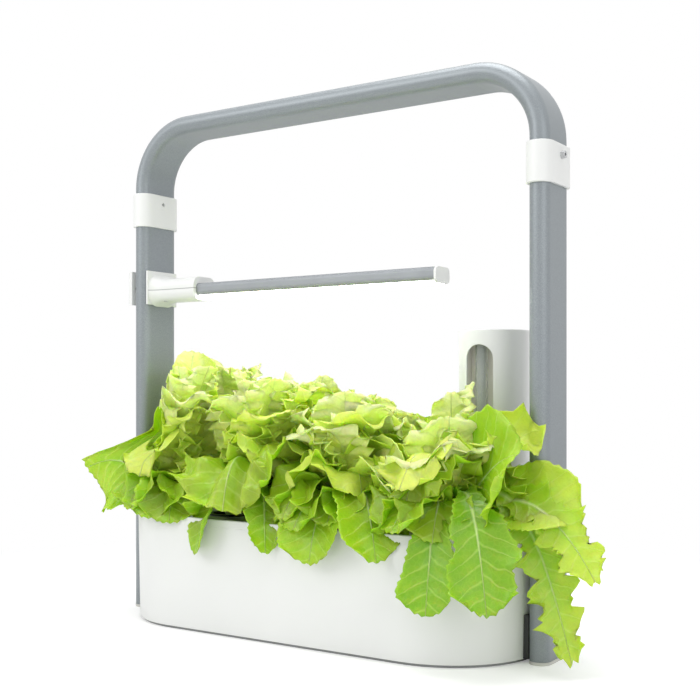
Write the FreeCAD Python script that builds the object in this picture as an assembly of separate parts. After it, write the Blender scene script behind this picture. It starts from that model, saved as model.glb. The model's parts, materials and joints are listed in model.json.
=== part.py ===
import FreeCAD, Part
import math
import os

from FreeCAD import Vector

# Countertop hydroponic garden. Millimetres, +Z up, origin on the table plane midway between
# the two posts, +X along the planter, +Y to the back.
os.makedirs("parts", exist_ok=True)

# Frame of flat-oval tube
post_spacing = 500.0
tube_thick = 20.0
tube_depth = 55.5
tube_wall = 1.6
joint_height = 462.0
arch_leg = 25.0
bend_radius = 67.0

# Sleeves, plugs and screws at the joints between post and arch
collar_height = 38.5
collar_drop = 19.5
collar_wall = 3.2
collar_edge = 0.8
spline_drop = 36.0
spline_margin = 1.0
spline_gap = 0.1
spline_wall = 2.6
spline_web = 12.0
collar_bolt_rise = 8.5
collar_bolt_length = 14.0
bolt_head_radius = 3.5
bolt_head_height = 4.0
bolt_radius = 2.0
bolt_clearance = 0.05
hex_width = 3.0
hex_depth = 2.4

# Pads under the posts
foot_height = 3.0
foot_lip = 0.4
foot_plug = 10.0
foot_wall = 2.0

# Planter
planter_gap = 1.0
planter_depth = 192.0
planter_height = 119.5
draft = 2.0
rim_height = 8.0
rim_width = 5.0
rim_round = 1.2
shell_wall = 2.6
floor_thick = 2.6
plinth_height = 3.0
plinth_inset = 3.5
reservoir_gap = 3.2
reservoir_wall = 1.8
deck_drop = 15.5
deck_thick = 2.5
skirt_gap = 0.5
reservoir_headroom = 0.5

# Fixing of the posts to the planter
saddle_depth = 44.0
saddle_wrap = 12.0
saddle_low = 3.5
saddle_height = 40.5
post_screw_low = 20.0
post_screw_pitch = 18.0
post_screw_head = 3.6
post_screw_head_height = 2.4
nut_plate_thick = 3.0
nut_plate_depth = 16.0
nut_plate_margin = 6.0

# Net pots, sponges and plants
pot_pitch = 112.0
row_offset = 42.0
pot_top_radius = 23.4
pot_base_radius = 17.0
pot_wall = 1.4
pot_height = 54.0
pot_flange_radius = 27.0
pot_flange_thick = 1.8
pot_hole_gap = 0.6
pot_slots = 8
pot_slot_width = 4.0
pot_slot_low = 6.0
pot_slot_height = 30.0
sponge_radius = 15.0
sponge_height = 46.0
sponge_edge = 0.8
plant_radius = 54.0
crown_dip = 12.0
stem_rise = 14.0
stem_radius = 11.0
leaf_length = 100.0
leaf_thick = 4.0
plant_gap = 0.6
leaf_clearance = 1.2

# Pump tower
tower_x = 174.5
tower_y = 40.0
tower_radius = 35.2
tower_wall = 2.2
tower_top = 311.5
lid_thick = 2.6
lid_ledge = 1.6
lid_gap = 0.3
lid_spigot = 7.0
lid_spigot_wall = 1.6
lid_ledge_height = 3.0
lid_round = 0.6
tower_round = 1.0
tower_hole_gap = 0.6
notch_width = 12.0
notch_height = 7.0
window_half = 14.5
window_top = 297.0
window_low = 170.0
liner_half = 17.5
liner_depth = 17.0
liner_wall = 1.5
liner_margin = 4.0
tube_bore = 4.8
level_wall = 1.2
level_offset = 2.0
level_setback = 11.0
float_radius = 4.2
float_height = 12.0
float_round = 1.5

# Pump
pump_radius = 26.0
pump_height = 42.0
pump_wall = 2.0
pump_lift = 1.0
pump_round = 3.0
pump_foot_radius = 3.0
pump_foot_inset = 4.0
chamber_radius = 16.0
chamber_height = 12.0
impeller_radius = 13.0
impeller_height = 8.0
impeller_hub = 4.0
impeller_disc = 1.4
impeller_rise = 2.0
impeller_vanes = 5
vane_thick = 1.6
shaft_radius = 1.5
shaft_clearance = 0.06
shaft_rise = 1.0
shaft_bite = 6.0
inlet_radius = 6.0
outlet_bore = 3.5
outlet_wall = 1.5
outlet_reach = 14.0
lead_radius = 1.8

# Control board and power inlet
board_width = 30.0
board_height = 60.0
board_thick = 1.6
board_low = 210.0
jack_radius = 5.2
jack_rise = 56.5
jack_gap = 0.2
jack_flange = 7.0
jack_flange_thick = 1.6
jack_length = 13.0
jack_bore = 2.9
jack_bore_depth = 9.5
jack_pin = 1.0

# Light and its clamp
light_end = 136.0
light_top = 374.0
light_height = 14.0
light_depth = 28.0
light_centre_y = -1.5
light_corner = 5.0
light_wall = 1.6
light_inner_corner = 1.5
lens_slot = 21.0
lens_drop = 2.0
lens_lip = 1.0
lens_gap = 0.2
lens_wall = 1.6
lens_edge = 1.4
led_board_thick = 1.6
led_count = 24
led_size = 3.0
led_height = 0.8
led_margin = 12.0
led_row = 5.0
end_cap_length = 2.6
arm_end = -172.0
arm_tenon = 34.0
arm_top = 381.5
arm_height = 26.5
arm_depth = 37.0
arm_corner = 10.0
arm_wall = 2.4
arm_flare = 5.0
arm_flare_length = 20.0
arm_flare_steps = 5
arm_face = 3.0
arm_screw_radius = 1.5
arm_screw_head = 2.8
arm_screw_head_height = 1.6
arm_screw_sink = 2.0
arm_screw_bite = 8.0
arm_screw_pitch = 20.0
arm_screw_setback = 16.0
arm_boss_radius = 3.2
ring_low = 352.0
ring_height = 39.0
ring_inner_wall = 2.4
ring_back_wall = 3.0
ring_outer_wall = 3.2
ring_gap = 0.06
ring_front = 8.0
ring_overlap = 4.0
cover_thick = 8.5
cover_depth = 50.0
cover_round = 6.0
clamp_pad_height = 24.0
clamp_pad_depth = 26.0
clamp_spring_thick = 0.6
clamp_spring_rise = 1.8
clamp_spring_width = 12.0
clamp_pocket = 5.0
clamp_pad_gap = 0.3
cover_screw_radius = 1.4
cover_screw_length = 6.0
cover_screw_margin = 5.0

half_spacing = post_spacing / 2
frame_height = joint_height + arch_leg + bend_radius + tube_thick / 2
collar_low = joint_height - collar_drop
collar_bolt_height = joint_height + collar_bolt_rise
post_inner = half_spacing - tube_thick / 2
post_outer = half_spacing + tube_thick / 2
planter_radius = planter_depth / 2
planter_half = post_inner - planter_gap
shell_top = planter_height - rim_height
deck_low = planter_height - deck_drop
jack_height = planter_height + jack_rise
deck_top = deck_low + deck_thick
tower_centre = Vector(tower_x, tower_y, 0)
tower_front = tower_y - tower_radius
reservoir_floor_low = plinth_height + floor_thick
reservoir_floor = reservoir_floor_low + reservoir_wall
pump_base = reservoir_floor + pump_lift


def save(name, *solids):
    """Write one node; more than one solid makes a group."""
    shape = solids[0] if len(solids) == 1 else Part.makeCompound(list(solids))
    shape.exportStep("parts/" + name + ".step")


def single(shape):
    """The one solid of a boolean's result."""
    found = shape.Solids
    found.sort(key=lambda solid: solid.Volume)
    return found[-1]


def box(x0, x1, y0, y1, z0, z1):
    return Part.makeBox(x1 - x0, y1 - y0, z1 - z0, Vector(x0, y0, z0))


def rod(radius, start, end):
    """A round bar from one point to another."""
    line = end - start
    return Part.makeCylinder(radius, line.Length, start, line)


def stadium(half_x, half_y, z, x=0.0, y=0.0):
    """Closed outline in a level plane: straight sides with half-round ends."""
    if half_x >= half_y:
        r = half_y
        c = half_x - r
        a = [Vector(x - c, y - r, z), Vector(x + c, y - r, z), Vector(x + c + r, y, z),
             Vector(x + c, y + r, z), Vector(x - c, y + r, z), Vector(x - c - r, y, z)]
    else:
        r = half_x
        c = half_y - r
        a = [Vector(x + r, y - c, z), Vector(x + r, y + c, z), Vector(x, y + c + r, z),
             Vector(x - r, y + c, z), Vector(x - r, y - c, z), Vector(x, y - c - r, z)]
    edges = [Part.makeLine(a[0], a[1]), Part.Arc(a[1], a[2], a[3]).toShape(),
             Part.makeLine(a[3], a[4]), Part.Arc(a[4], a[5], a[0]).toShape()]
    return Part.Wire(edges)


def prism(wire, height):
    return Part.Face(wire).extrude(Vector(0, 0, height))


def tube_prism(x, grow, z0, z1):
    """Upright bar of the tube's outline, larger by grow all round."""
    return prism(stadium(tube_thick / 2 + grow, tube_depth / 2 + grow, z0, x), z1 - z0)


def planter_solid(inset, z0, z1):
    """The planter's drafted outer form, smaller by inset all round, from z0 to z1."""
    wires = []
    for z in (z0, z1):
        lean = draft * (1 - z / planter_height)
        off = inset + lean
        wires.append(stadium(planter_half - off, planter_radius - off, z))
    return Part.makeLoft(wires, True, True)


def socket_screw(tip, out, length):
    """A cap screw whose head's underside is length from the tip, along out."""
    seat = tip + out * length
    shape = rod(bolt_radius, tip, seat).fuse(rod(bolt_head_radius, seat, seat + out * bolt_head_height))
    points = []
    side = Vector(0, 1, 0)
    up = Vector(0, 0, 1)
    corner = hex_width / math.sqrt(3)
    top = seat + out * bolt_head_height
    for i in range(7):
        angle = math.radians(60 * i)
        points.append(top + side * (corner * math.cos(angle)) + up * (corner * math.sin(angle)))
    socket = Part.Face(Part.makePolygon(points)).extrude(out * -hex_depth)
    return single(shape.cut(socket).removeSplitter())


def pan_screw(seat, out, length, radius, head_radius, head_height):
    """A screw whose shank runs from seat against out, with its head on the other side."""
    shank = rod(radius, seat - out * length, seat)
    return single(shank.fuse(rod(head_radius, seat, seat + out * head_height)))


# Frame
def post(side):
    x = side * half_spacing
    body = tube_prism(x, 0, foot_height, joint_height)
    body = body.cut(tube_prism(x, -tube_wall, foot_height, joint_height))
    hole = post_screw_row(side, bolt_radius + bolt_clearance)
    return single(body.cut(hole))


def arch():
    """Two short legs, two bends and the top run of one tube."""
    bend_z = frame_height - tube_thick / 2 - bend_radius
    bend_x = half_spacing - bend_radius
    outer = Part.Face(stadium(tube_thick / 2, tube_depth / 2, bend_z, half_spacing))
    inner = Part.Face(stadium(tube_thick / 2 - tube_wall, tube_depth / 2 - tube_wall, bend_z, half_spacing))
    ring = outer.cut(inner)
    leg = ring.extrude(Vector(0, 0, joint_height - bend_z))
    bend = ring.revolve(Vector(bend_x, 0, bend_z), Vector(0, -1, 0), 90)
    half_run = ring.copy()
    half_run.rotate(Vector(bend_x, 0, bend_z), Vector(0, -1, 0), 90)
    top = half_run.extrude(Vector(-bend_x, 0, 0))
    half = leg.fuse([bend, top])
    other = half.mirror(Vector(0, 0, 0), Vector(1, 0, 0))
    whole = half.fuse(other).removeSplitter()
    for side in (-1, 1):
        whole = whole.cut(collar_bore(side))
    return single(whole)


def collar_bore(side):
    """The screw's hole through sleeve, tube and plug, open towards the inner side too."""
    start = Vector(side * (post_inner - collar_wall - 1), 0, collar_bolt_height)
    end = Vector(side * (post_outer + collar_wall + 1), 0, collar_bolt_height)
    return rod(bolt_radius + bolt_clearance, start, end)


def collar(side):
    x = side * half_spacing
    high = collar_low + collar_height
    body = tube_prism(x, collar_wall, collar_low, high)
    rims = [e for e in body.Edges if abs(e.BoundBox.ZMax - e.BoundBox.ZMin) < 0.01]
    body = body.makeFillet(collar_edge, rims)
    body = body.cut(tube_prism(x, spline_gap, collar_low - 1, high + 1))
    return single(body.cut(collar_bore(side)))


def spline(side):
    x = side * half_spacing
    low = joint_height - spline_drop
    high = joint_height + arch_leg - spline_margin
    half_web = spline_web / 2
    body = tube_prism(x, -tube_wall - spline_gap, low, high)
    core = tube_prism(x, -tube_wall - spline_gap - spline_wall, low - 1, high + 1)
    web = box(x - tube_thick / 2, x + tube_thick / 2, -half_web, half_web, low, high)
    body = body.cut(core.cut(web))
    return single(body.cut(collar_bore(side)))


def collar_bolt(side):
    out = Vector(side, 0, 0)
    seat_x = post_outer + collar_wall
    tip = Vector(side * (seat_x - collar_bolt_length), 0, collar_bolt_height)
    return socket_screw(tip, out, collar_bolt_length)


def post_foot(side):
    x = side * half_spacing
    pad = tube_prism(x, foot_lip, 0, foot_height)
    plug = tube_prism(x, -tube_wall - spline_gap, foot_height, foot_height + foot_plug)
    hollow = tube_prism(x, -tube_wall - spline_gap - foot_wall, foot_height, foot_height + foot_plug)
    return single(pad.fuse(plug.cut(hollow)))


# Fixing of the posts
def post_screw_row(side, radius):
    """Bars on the axes of one side's two fixing screws."""
    bars = []
    for i in range(2):
        z = post_screw_low + i * post_screw_pitch
        start = Vector(side * (planter_half - saddle_wrap), 0, z)
        end = Vector(side * (post_inner + tube_wall + nut_plate_thick + 1), 0, z)
        bars.append(rod(radius, start, end))
    return Part.makeCompound(bars)


def post_saddle(side):
    """Packing piece between the planter's round end and the post's flat side."""
    half = saddle_depth / 2
    x0, x1 = sorted((side * (planter_half - saddle_wrap), side * post_inner))
    body = box(x0, x1, -half, half, saddle_low, saddle_low + saddle_height)
    body = body.cut(planter_solid(0, plinth_height, planter_height))
    return single(body.cut(post_screw_row(side, bolt_radius + bolt_clearance)))


def nut_plate(side):
    x0, x1 = sorted((side * (post_inner + tube_wall), side * (post_inner + tube_wall + nut_plate_thick)))
    half = nut_plate_depth / 2
    low = post_screw_low - nut_plate_margin
    high = post_screw_low + post_screw_pitch + nut_plate_margin
    body = box(x0, x1, -half, half, low, high)
    return single(body.cut(post_screw_row(side, bolt_radius + bolt_clearance)))


def post_screws():
    found = []
    for side in (-1, 1):
        for i in range(2):
            z = post_screw_low + i * post_screw_pitch
            lean = draft * (1 - (z - post_screw_head) / planter_height)
            seat_x = planter_half - lean - shell_wall
            seat = Vector(side * seat_x, 0, z)
            length = post_inner + tube_wall + nut_plate_thick - seat_x
            found.append(pan_screw(seat, Vector(-side, 0, 0), length, bolt_radius, post_screw_head,
                                   post_screw_head_height))
    return found


# Planter
def planter_shell():
    body = planter_solid(0, plinth_height, shell_top)
    body = body.cut(planter_solid(shell_wall, plinth_height + floor_thick, shell_top + 1))
    for side in (-1, 1):
        body = body.cut(post_screw_row(side, bolt_radius + bolt_clearance))
    return single(body)


def base_plinth():
    """Recessed plate on which the planter stands."""
    off = draft + plinth_inset
    return prism(stadium(planter_half - off, planter_radius - off, 0), plinth_height)


def reservoir():
    inset = shell_wall + reservoir_gap
    high = deck_low - reservoir_headroom
    body = planter_solid(inset, reservoir_floor_low, high)
    return single(body.cut(planter_solid(inset + reservoir_wall, reservoir_floor, high + 1)))


def pot_places():
    """Name and centre of each plant's place: four in front, three behind beside the tower."""
    places = []
    for i in range(4):
        places.append(("front_" + str(i + 1), (i - 1.5) * pot_pitch, -row_offset))
    for i in range(3):
        places.append(("rear_" + str(i + 1), (i - 1.5) * pot_pitch, row_offset))
    return places


def grow_deck():
    """Top of the planter: the rim, a skirt inside the shell and the plate with the holes."""
    rim = planter_solid(0, shell_top, planter_height)
    rims = [e for e in rim.Edges if e.BoundBox.ZMin > planter_height - 0.01]
    rim = rim.makeFillet(rim_round, rims)
    skirt = planter_solid(shell_wall + skirt_gap, deck_low, shell_top)
    body = rim.fuse(skirt)
    body = body.cut(planter_solid(rim_width, deck_top, planter_height + 1))
    for name, x, y in pot_places():
        body = body.cut(rod(pot_top_radius + pot_hole_gap, Vector(x, y, 0), Vector(x, y, planter_height)))
    hole = tower_radius + tower_hole_gap
    body = body.cut(rod(hole, tower_centre, tower_centre + Vector(0, 0, planter_height)))
    return single(body)


# Pots and plants
def net_pot(x, y):
    """Tapered cup with a flange that rests on the deck and slots for the roots."""
    low = deck_top - pot_height
    at = Vector(x, y, low)
    up = Vector(0, 0, 1)
    cup = Part.makeCone(pot_base_radius, pot_top_radius, pot_height, at, up)
    flange = Part.makeCylinder(pot_flange_radius, pot_flange_thick, Vector(x, y, deck_top), up)
    body = cup.fuse(flange)
    hollow = Part.makeCone(pot_base_radius - pot_wall, pot_top_radius - pot_wall, pot_height,
                           at + Vector(0, 0, pot_wall), up)
    mouth = Part.makeCylinder(pot_top_radius - pot_wall, pot_flange_thick + 1, Vector(x, y, deck_top), up)
    body = body.cut(hollow.fuse(mouth))
    half = pot_slot_width / 2
    for i in range(pot_slots // 2):
        slot = box(-pot_flange_radius, pot_flange_radius, -half, half, low + pot_slot_low,
                   low + pot_slot_low + pot_slot_height)
        slot.rotate(Vector(0, 0, 0), up, 180.0 * i * 2 / pot_slots)
        slot.translate(Vector(x, y, 0))
        body = body.cut(slot)
    return single(body)


def grow_sponge(x, y):
    low = deck_top - pot_height + pot_wall
    body = rod(sponge_radius, Vector(x, y, low), Vector(x, y, low + sponge_height))
    return body.makeChamfer(sponge_edge, [e for e in body.Edges if e.Length > 2 * sponge_radius])


sponge_top = deck_top - pot_height + pot_wall + sponge_height


def cell(x, y):
    """Plan limits of the area that one plant may fill, so that neighbours stay clear of each other."""
    half = pot_pitch / 2
    x0 = x - half + plant_gap / 2
    x1 = x + half - plant_gap / 2
    if x < -pot_pitch:
        x0 = -post_spacing
    if x > pot_pitch:
        x1 = post_spacing
    if y < 0:
        return x0, x1, -post_spacing, -plant_gap / 2
    return x0, x1, plant_gap / 2, post_spacing


# Height above the planter as a share of the plant's, and reach as a share of its radius
head_shape = ((0.16, 0.5), (0.32, 0.94), (0.5, 1.02), (0.66, 0.86), (0.84, 0.84), (0.98, 0.56))
head_points = 20
head_lobes = 5
lobe_depth = 0.2


def head(x, y, tall):
    """The full middle of a lettuce: a stem that opens into a lobed bush with flat faces."""
    x0, x1, y0, y1 = cell(x, y)
    levels = [(sponge_top, stem_radius, 0.0), (planter_height + 2, stem_radius, 0.0)]
    levels += [(planter_height + rise * tall, share * plant_radius, lobe_depth) for rise, share in head_shape]
    rings = []
    for k, (z, radius, depth) in enumerate(levels):
        ring = []
        for j in range(head_points):
            angle = 2 * math.pi * j / head_points
            across, along = math.cos(angle), math.sin(angle)
            reach = radius * (1 + depth * math.cos(head_lobes * angle + 2.2 * k))
            limits = [reach]
            if abs(across) > 0.01:
                limits.append(((x1 if across > 0 else x0) - x) / across)
            if abs(along) > 0.01:
                limits.append(((y1 if along > 0 else y0) - y) / along)
            reach = min(limits)
            ring.append(Vector(x + reach * across, y + reach * along, z))
        rings.append(ring)
    return faceted(rings, Vector(x, y, planter_height + tall - crown_dip))


def faceted(rings, crown=None):
    """Closed solid with flat faces through rings of as many points each.

    The ends are closed to their own middle, or the last one to the crown point.
    """
    faces = []
    count = len(rings[0])
    for near, far in zip(rings, rings[1:]):
        for i in range(count):
            a, b, c, d = near[i], near[(i + 1) % count], far[(i + 1) % count], far[i]
            faces.append(Part.Face(Part.makePolygon([a, b, c, a])))
            faces.append(Part.Face(Part.makePolygon([a, c, d, a])))
    for ring, point in ((rings[0], None), (rings[-1], crown)):
        if point is None:
            point = sum(ring, Vector(0, 0, 0)) / count
        for i in range(count):
            faces.append(Part.Face(Part.makePolygon([ring[i], ring[(i + 1) % count], point, ring[i]])))
    solid = Part.makeSolid(Part.makeShell(faces))
    if solid.Volume < 0:
        solid.reverse()
    return solid


def leaf(x, y, turn, *shares, roll=0.0):
    """One leaf: a cupped blade along a curve that rises from the stem and arches over to its tip.

    The blade leans by roll degrees about its midrib, from nothing at the stem.
    """
    reach, rise, drop, width = [share * leaf_length for share in shares]
    out = Vector(math.cos(math.radians(turn)), math.sin(math.radians(turn)), 0)
    level = Vector(-out.y, out.x, 0)
    start = Vector(x, y, planter_height + stem_rise) + out * 4
    knee = start + out * (0.5 * reach)
    tip = Vector(x, y, planter_height + drop) + out * reach
    knee.z = 2 * (planter_height + rise) - 0.5 * (start.z + tip.z)
    rings = []
    for t, share in blade_shape:
        mid = start * (1 - t) ** 2 + knee * (2 * t * (1 - t)) + tip * t ** 2
        ahead = (knee - start) * (2 * (1 - t)) + (tip - knee) * (2 * t)
        ahead.normalize()
        lean = math.radians(roll * min(1.0, 2 * t))
        above = ahead.cross(level)
        side = level * math.cos(lean) + above * math.sin(lean)
        lift = ahead.cross(side) * (leaf_thick / 2)
        half = side * (0.5 * width * share)
        cup = lift * (blade_cup * width * share / leaf_thick)
        rings.append([mid + half + lift + cup, mid + lift, mid - half + lift + cup,
                      mid - half - lift + cup, mid - lift, mid + half - lift + cup])
    return faceted(rings)


# Share of a leaf's full width at steps from its stem to its tip
blade_shape = ((0.0, 0.22), (0.2, 0.45), (0.4, 0.78), (0.6, 1.0), (0.8, 0.94), (1.0, 0.45))
blade_cup = 0.3

# In shares of the leaf length: the height of each plant above the planter, and then for its large
# leaves, after the turn in degrees from +X, the reach, the height of the arch and of the tip above
# the planter, and the width. The last value is the lean about the midrib in degrees
plant_tops = {"front_1": 1.685, "front_2": 1.605, "front_3": 1.425, "front_4": 1.205,
              "rear_1": 1.765, "rear_2": 1.565, "rear_3": 1.265}
large_leaves = {
    "front_1": ((-150, 1.05, 0.505, 0.435, 1.2, -72), (-60, 0.67, 0.395, -0.145, 0.59, 0),
                (-110, 0.64, 0.565, 0.135, 0.7, 0)),
    "front_2": ((-122, 0.75, 0.285, -0.365, 0.47, 0), (-50, 0.83, 0.305, -0.275, 0.41, 0),
                (-77, 0.77, 0.555, 0.125, 1.25, 0)),
    "front_3": ((-94, 0.75, 0.305, -0.325, 0.75, 0), (-50, 0.75, 0.385, -0.055, 0.6, 0),
                (-102, 0.72, 0.575, 0.125, 0.71, 0)),
    "front_4": ((-80, 0.89, 0.325, -0.575, 0.72, 0), (-49, 1.11, 0.385, -0.655, 0.98, 0),
                (0, 1.16, 0.465, 0.315, 0.6, 55), (-9, 1.43, 0.285, -1.075, 0.58, 40),
                (38, 0.86, 1.045, 0.935, 0.5, 0)),
    "rear_1": ((-165, 0.54, 1.555, 1.445, 0.7, 50), (113, 0.56, 0.955, 0.515, 0.79, 0)),
    "rear_2": ((90, 0.58, 0.865, 0.405, 0.84, 0),),
    "rear_3": ((78, 0.62, 0.785, 0.365, 0.86, 0), (32, 0.56, 0.925, 0.705, 0.6, 0)),
}


def obstacles():
    """What the leaves lie on or beside, with the clearance that they keep."""
    gap = leaf_clearance
    rim = planter_solid(-gap, 0, planter_height + gap)
    well = planter_solid(rim_width + gap, deck_top, planter_height + gap)
    tower = rod(tower_radius + gap, tower_centre, tower_centre + Vector(0, 0, tower_top + gap))
    posts = [tube_prism(side * half_spacing, gap, 0, joint_height) for side in (-1, 1)]
    return [rim.cut(well), tower] + posts


def lettuce(name, x, y):
    body = head(x, y, plant_tops[name] * leaf_length)
    x0, x1, y0, y1 = cell(x, y)
    room = box(x0, x1, y0, y1, 0, frame_height)
    for values in large_leaves[name]:
        blade = leaf(x, y, *values[:-1], roll=values[-1]).common(room).cut(obstacles())
        body = body.fuse(single(blade))
    return single(body)


# Pump tower
def window(grow, depth):
    """The arched opening's bar, from the tower's front towards its axis."""
    half = window_half + grow
    spring = window_top - window_half
    y0 = tower_front - 2
    straight = box(tower_x - half, tower_x + half, y0, y0 + depth, window_low - grow, spring)
    arch_bar = rod(half, Vector(tower_x, y0, spring), Vector(tower_x, y0 + depth, spring))
    return straight.fuse(arch_bar)


def tower_shell():
    top = Vector(0, 0, tower_top)
    body = rod(tower_radius, tower_centre + Vector(0, 0, reservoir_floor), tower_centre + top)
    rims = [e for e in body.Edges if e.BoundBox.ZMin > tower_top - 0.01]
    body = body.makeFillet(tower_round, rims)
    inner = tower_radius - tower_wall
    body = body.cut(rod(inner, tower_centre, tower_centre + top))
    up = Vector(0, 0, tower_top - lid_thick)
    ledge = rod(inner + 0.1, tower_centre + up - Vector(0, 0, lid_ledge_height),
                tower_centre + up)
    ledge = ledge.cut(rod(inner - lid_ledge, tower_centre, tower_centre + top))
    body = body.fuse(ledge)
    body = body.cut(window(0, tower_radius))
    for i in range(4):
        notch = box(-tower_radius - 1, tower_radius + 1, -notch_width / 2, notch_width / 2, 0,
                    reservoir_floor + notch_height)
        notch.rotate(Vector(0, 0, 0), Vector(0, 0, 1), 45.0 * i)
        notch.translate(tower_centre)
        body = body.cut(notch)
    outlet = outlet_bore + outlet_wall + bolt_clearance
    body = body.cut(rod(outlet, outlet_start(), outlet_end() - Vector(outlet_reach, 0, 0)))
    body = body.cut(rod(jack_radius + bolt_clearance, Vector(tower_x, tower_y, jack_height),
                        Vector(tower_x, tower_y + tower_radius + 2, jack_height)))
    seat = tower_y + jack_seat()
    body = body.cut(rod(jack_flange + jack_gap, Vector(tower_x, seat, jack_height),
                        Vector(tower_x, seat + jack_length, jack_height)))
    return single(body)


def tower_lid():
    top = tower_centre + Vector(0, 0, tower_top)
    under = tower_centre + Vector(0, 0, tower_top - lid_thick)
    inner = tower_radius - tower_wall
    body = rod(inner - lid_gap, under, top)
    body = body.makeFillet(lid_round, [e for e in body.Edges if e.BoundBox.ZMin > tower_top - 0.01])
    spigot = rod(inner - lid_ledge - lid_gap, under - Vector(0, 0, lid_spigot), under)
    bore = inner - lid_ledge - lid_gap - lid_spigot_wall
    spigot = spigot.cut(rod(bore, under - Vector(0, 0, lid_spigot + 1), under))
    return single(body.fuse(spigot))


def gauge_liner():
    """Channel behind the window, closed at its back and ends."""
    low = window_low - liner_margin
    high = window_top + liner_margin
    y1 = tower_front + tower_wall + liner_depth
    body = box(tower_x - liner_half, tower_x + liner_half, tower_front, y1, low, high)
    body = body.common(rod(tower_radius - tower_wall, tower_centre, tower_centre + Vector(0, 0, tower_top)))
    cut = box(tower_x - liner_half + liner_wall, tower_x + liner_half - liner_wall, tower_front - 1,
              y1 - liner_wall, low + liner_wall, high - liner_wall)
    return single(body.cut(cut))


level_x = tower_x - level_offset
level_y = tower_front + level_setback
level_low = window_low - liner_margin + liner_wall
level_high = window_top + liner_margin - liner_wall


def level_tube():
    """Clear tube between the liner's ends, with its closed foot."""
    low = Vector(level_x, level_y, level_low)
    high = Vector(level_x, level_y, level_high)
    body = rod(tube_bore + level_wall, low, high)
    bore = rod(tube_bore, low + Vector(0, 0, level_wall), high + Vector(0, 0, 1))
    return single(body.cut(bore))


def level_float():
    low = Vector(level_x, level_y, level_low + level_wall)
    body = rod(float_radius, low, low + Vector(0, 0, float_height))
    return body.makeFillet(float_round, [e for e in body.Edges if e.Length > 2 * float_radius and e.Closed])


# Pump
def pump_point(z):
    return Vector(tower_x, tower_y, pump_base + z)


def outlet_start():
    return Vector(tower_x - chamber_radius, tower_y, pump_base + pump_wall + chamber_height / 2)


def outlet_end():
    return Vector(tower_x - tower_radius - outlet_reach, tower_y, pump_base + pump_wall + chamber_height / 2)


def pump_cover():
    """Lower plate of the pump with its water inlet."""
    body = rod(pump_radius, pump_point(0), pump_point(pump_wall))
    body = body.cut(rod(inlet_radius, pump_point(-1), pump_point(pump_wall + 1)))
    feet = []
    for i in range(3):
        angle = math.radians(120 * i + 30)
        arm = Vector(math.cos(angle), math.sin(angle), 0) * (pump_radius - pump_foot_inset)
        feet.append(rod(pump_foot_radius, pump_point(-pump_lift) + arm, pump_point(0.5) + arm))
    return single(body.fuse(feet))


def pump_housing():
    """Sealed motor block with the impeller's chamber open to the cover below."""
    low = pump_point(pump_wall)
    body = rod(pump_radius, low, low + Vector(0, 0, pump_height))
    body = body.makeFillet(pump_round, [e for e in body.Edges if e.BoundBox.ZMin > low.z + 1 and e.Closed])
    body = body.cut(rod(chamber_radius, low - Vector(0, 0, 1), low + Vector(0, 0, chamber_height)))
    body = body.cut(rod(shaft_radius, low, low + Vector(0, 0, chamber_height + shaft_bite)))
    outlet = outlet_bore + outlet_wall
    body = body.cut(rod(outlet, outlet_start() + Vector(4, 0, 0), outlet_end()))
    return single(body)


def pump_shaft():
    low = pump_point(pump_wall + shaft_rise)
    return rod(shaft_radius, low, pump_point(pump_wall + chamber_height + shaft_bite))


def pump_impeller():
    low = pump_point(pump_wall + impeller_rise)
    high = low + Vector(0, 0, impeller_height)
    body = rod(impeller_hub, low, high)
    body = body.fuse(rod(impeller_radius, low, low + Vector(0, 0, impeller_disc)))
    for i in range(impeller_vanes):
        half = vane_thick / 2
        vane = box(impeller_hub - 1, impeller_radius - 0.2, -half, half, 0, impeller_height)
        vane.rotate(Vector(0, 0, 0), Vector(0, 0, 1), 360.0 * i / impeller_vanes)
        vane.translate(low)
        body = body.fuse(vane)
    bore = shaft_radius + shaft_clearance
    return single(body.cut(rod(bore, low - Vector(0, 0, 1), high + Vector(0, 0, 1))))


def pump_outlet():
    """Straight spout from the chamber through the tower's wall."""
    start = outlet_start() - Vector(2, 0, 0)
    body = rod(outlet_bore + outlet_wall, start, outlet_end())
    return single(body.cut(rod(outlet_bore, start + Vector(1, 0, 0), outlet_end() - Vector(1, 0, 0))))


board_y = tower_front + tower_wall + liner_depth


def control_board():
    half = board_width / 2
    high = board_low + board_height
    return box(tower_x - half, tower_x + half, board_y, board_y + board_thick, board_low, high)


def pump_lead():
    """Insulated lead from the motor block straight up to the control board."""
    top = pump_base + pump_wall + pump_height
    x = tower_x + board_width / 4
    y = board_y + board_thick + lead_radius + bolt_clearance
    return rod(lead_radius, Vector(x, y, top), Vector(x, y, board_low + board_height / 5))


def jack_seat():
    """Distance from the tower's axis to the flat that the inlet's flange sits on."""
    return math.sqrt(tower_radius ** 2 - (jack_flange + jack_gap) ** 2) - jack_gap


def power_jack():
    y = tower_y + jack_seat()
    at = Vector(tower_x, y, jack_height)
    back = Vector(0, 1, 0)
    body = rod(jack_radius, at - back * jack_length, at)
    body = body.fuse(rod(jack_flange, at, at + back * jack_flange_thick))
    face = at + back * jack_flange_thick
    body = body.cut(rod(jack_bore, face - back * jack_bore_depth, face))
    return single(body.fuse(rod(jack_pin, face - back * (jack_bore_depth + 0.5), face - back * 1.5)))


# Light
light_low = light_top - light_height
light_mid = light_top - light_height / 2
light_start = arm_end - arm_tenon
arm_low = arm_top - arm_height
arm_mid = arm_top - arm_height / 2
ring_inner = -post_inner + ring_gap + ring_inner_wall
arm_start = ring_inner


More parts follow.
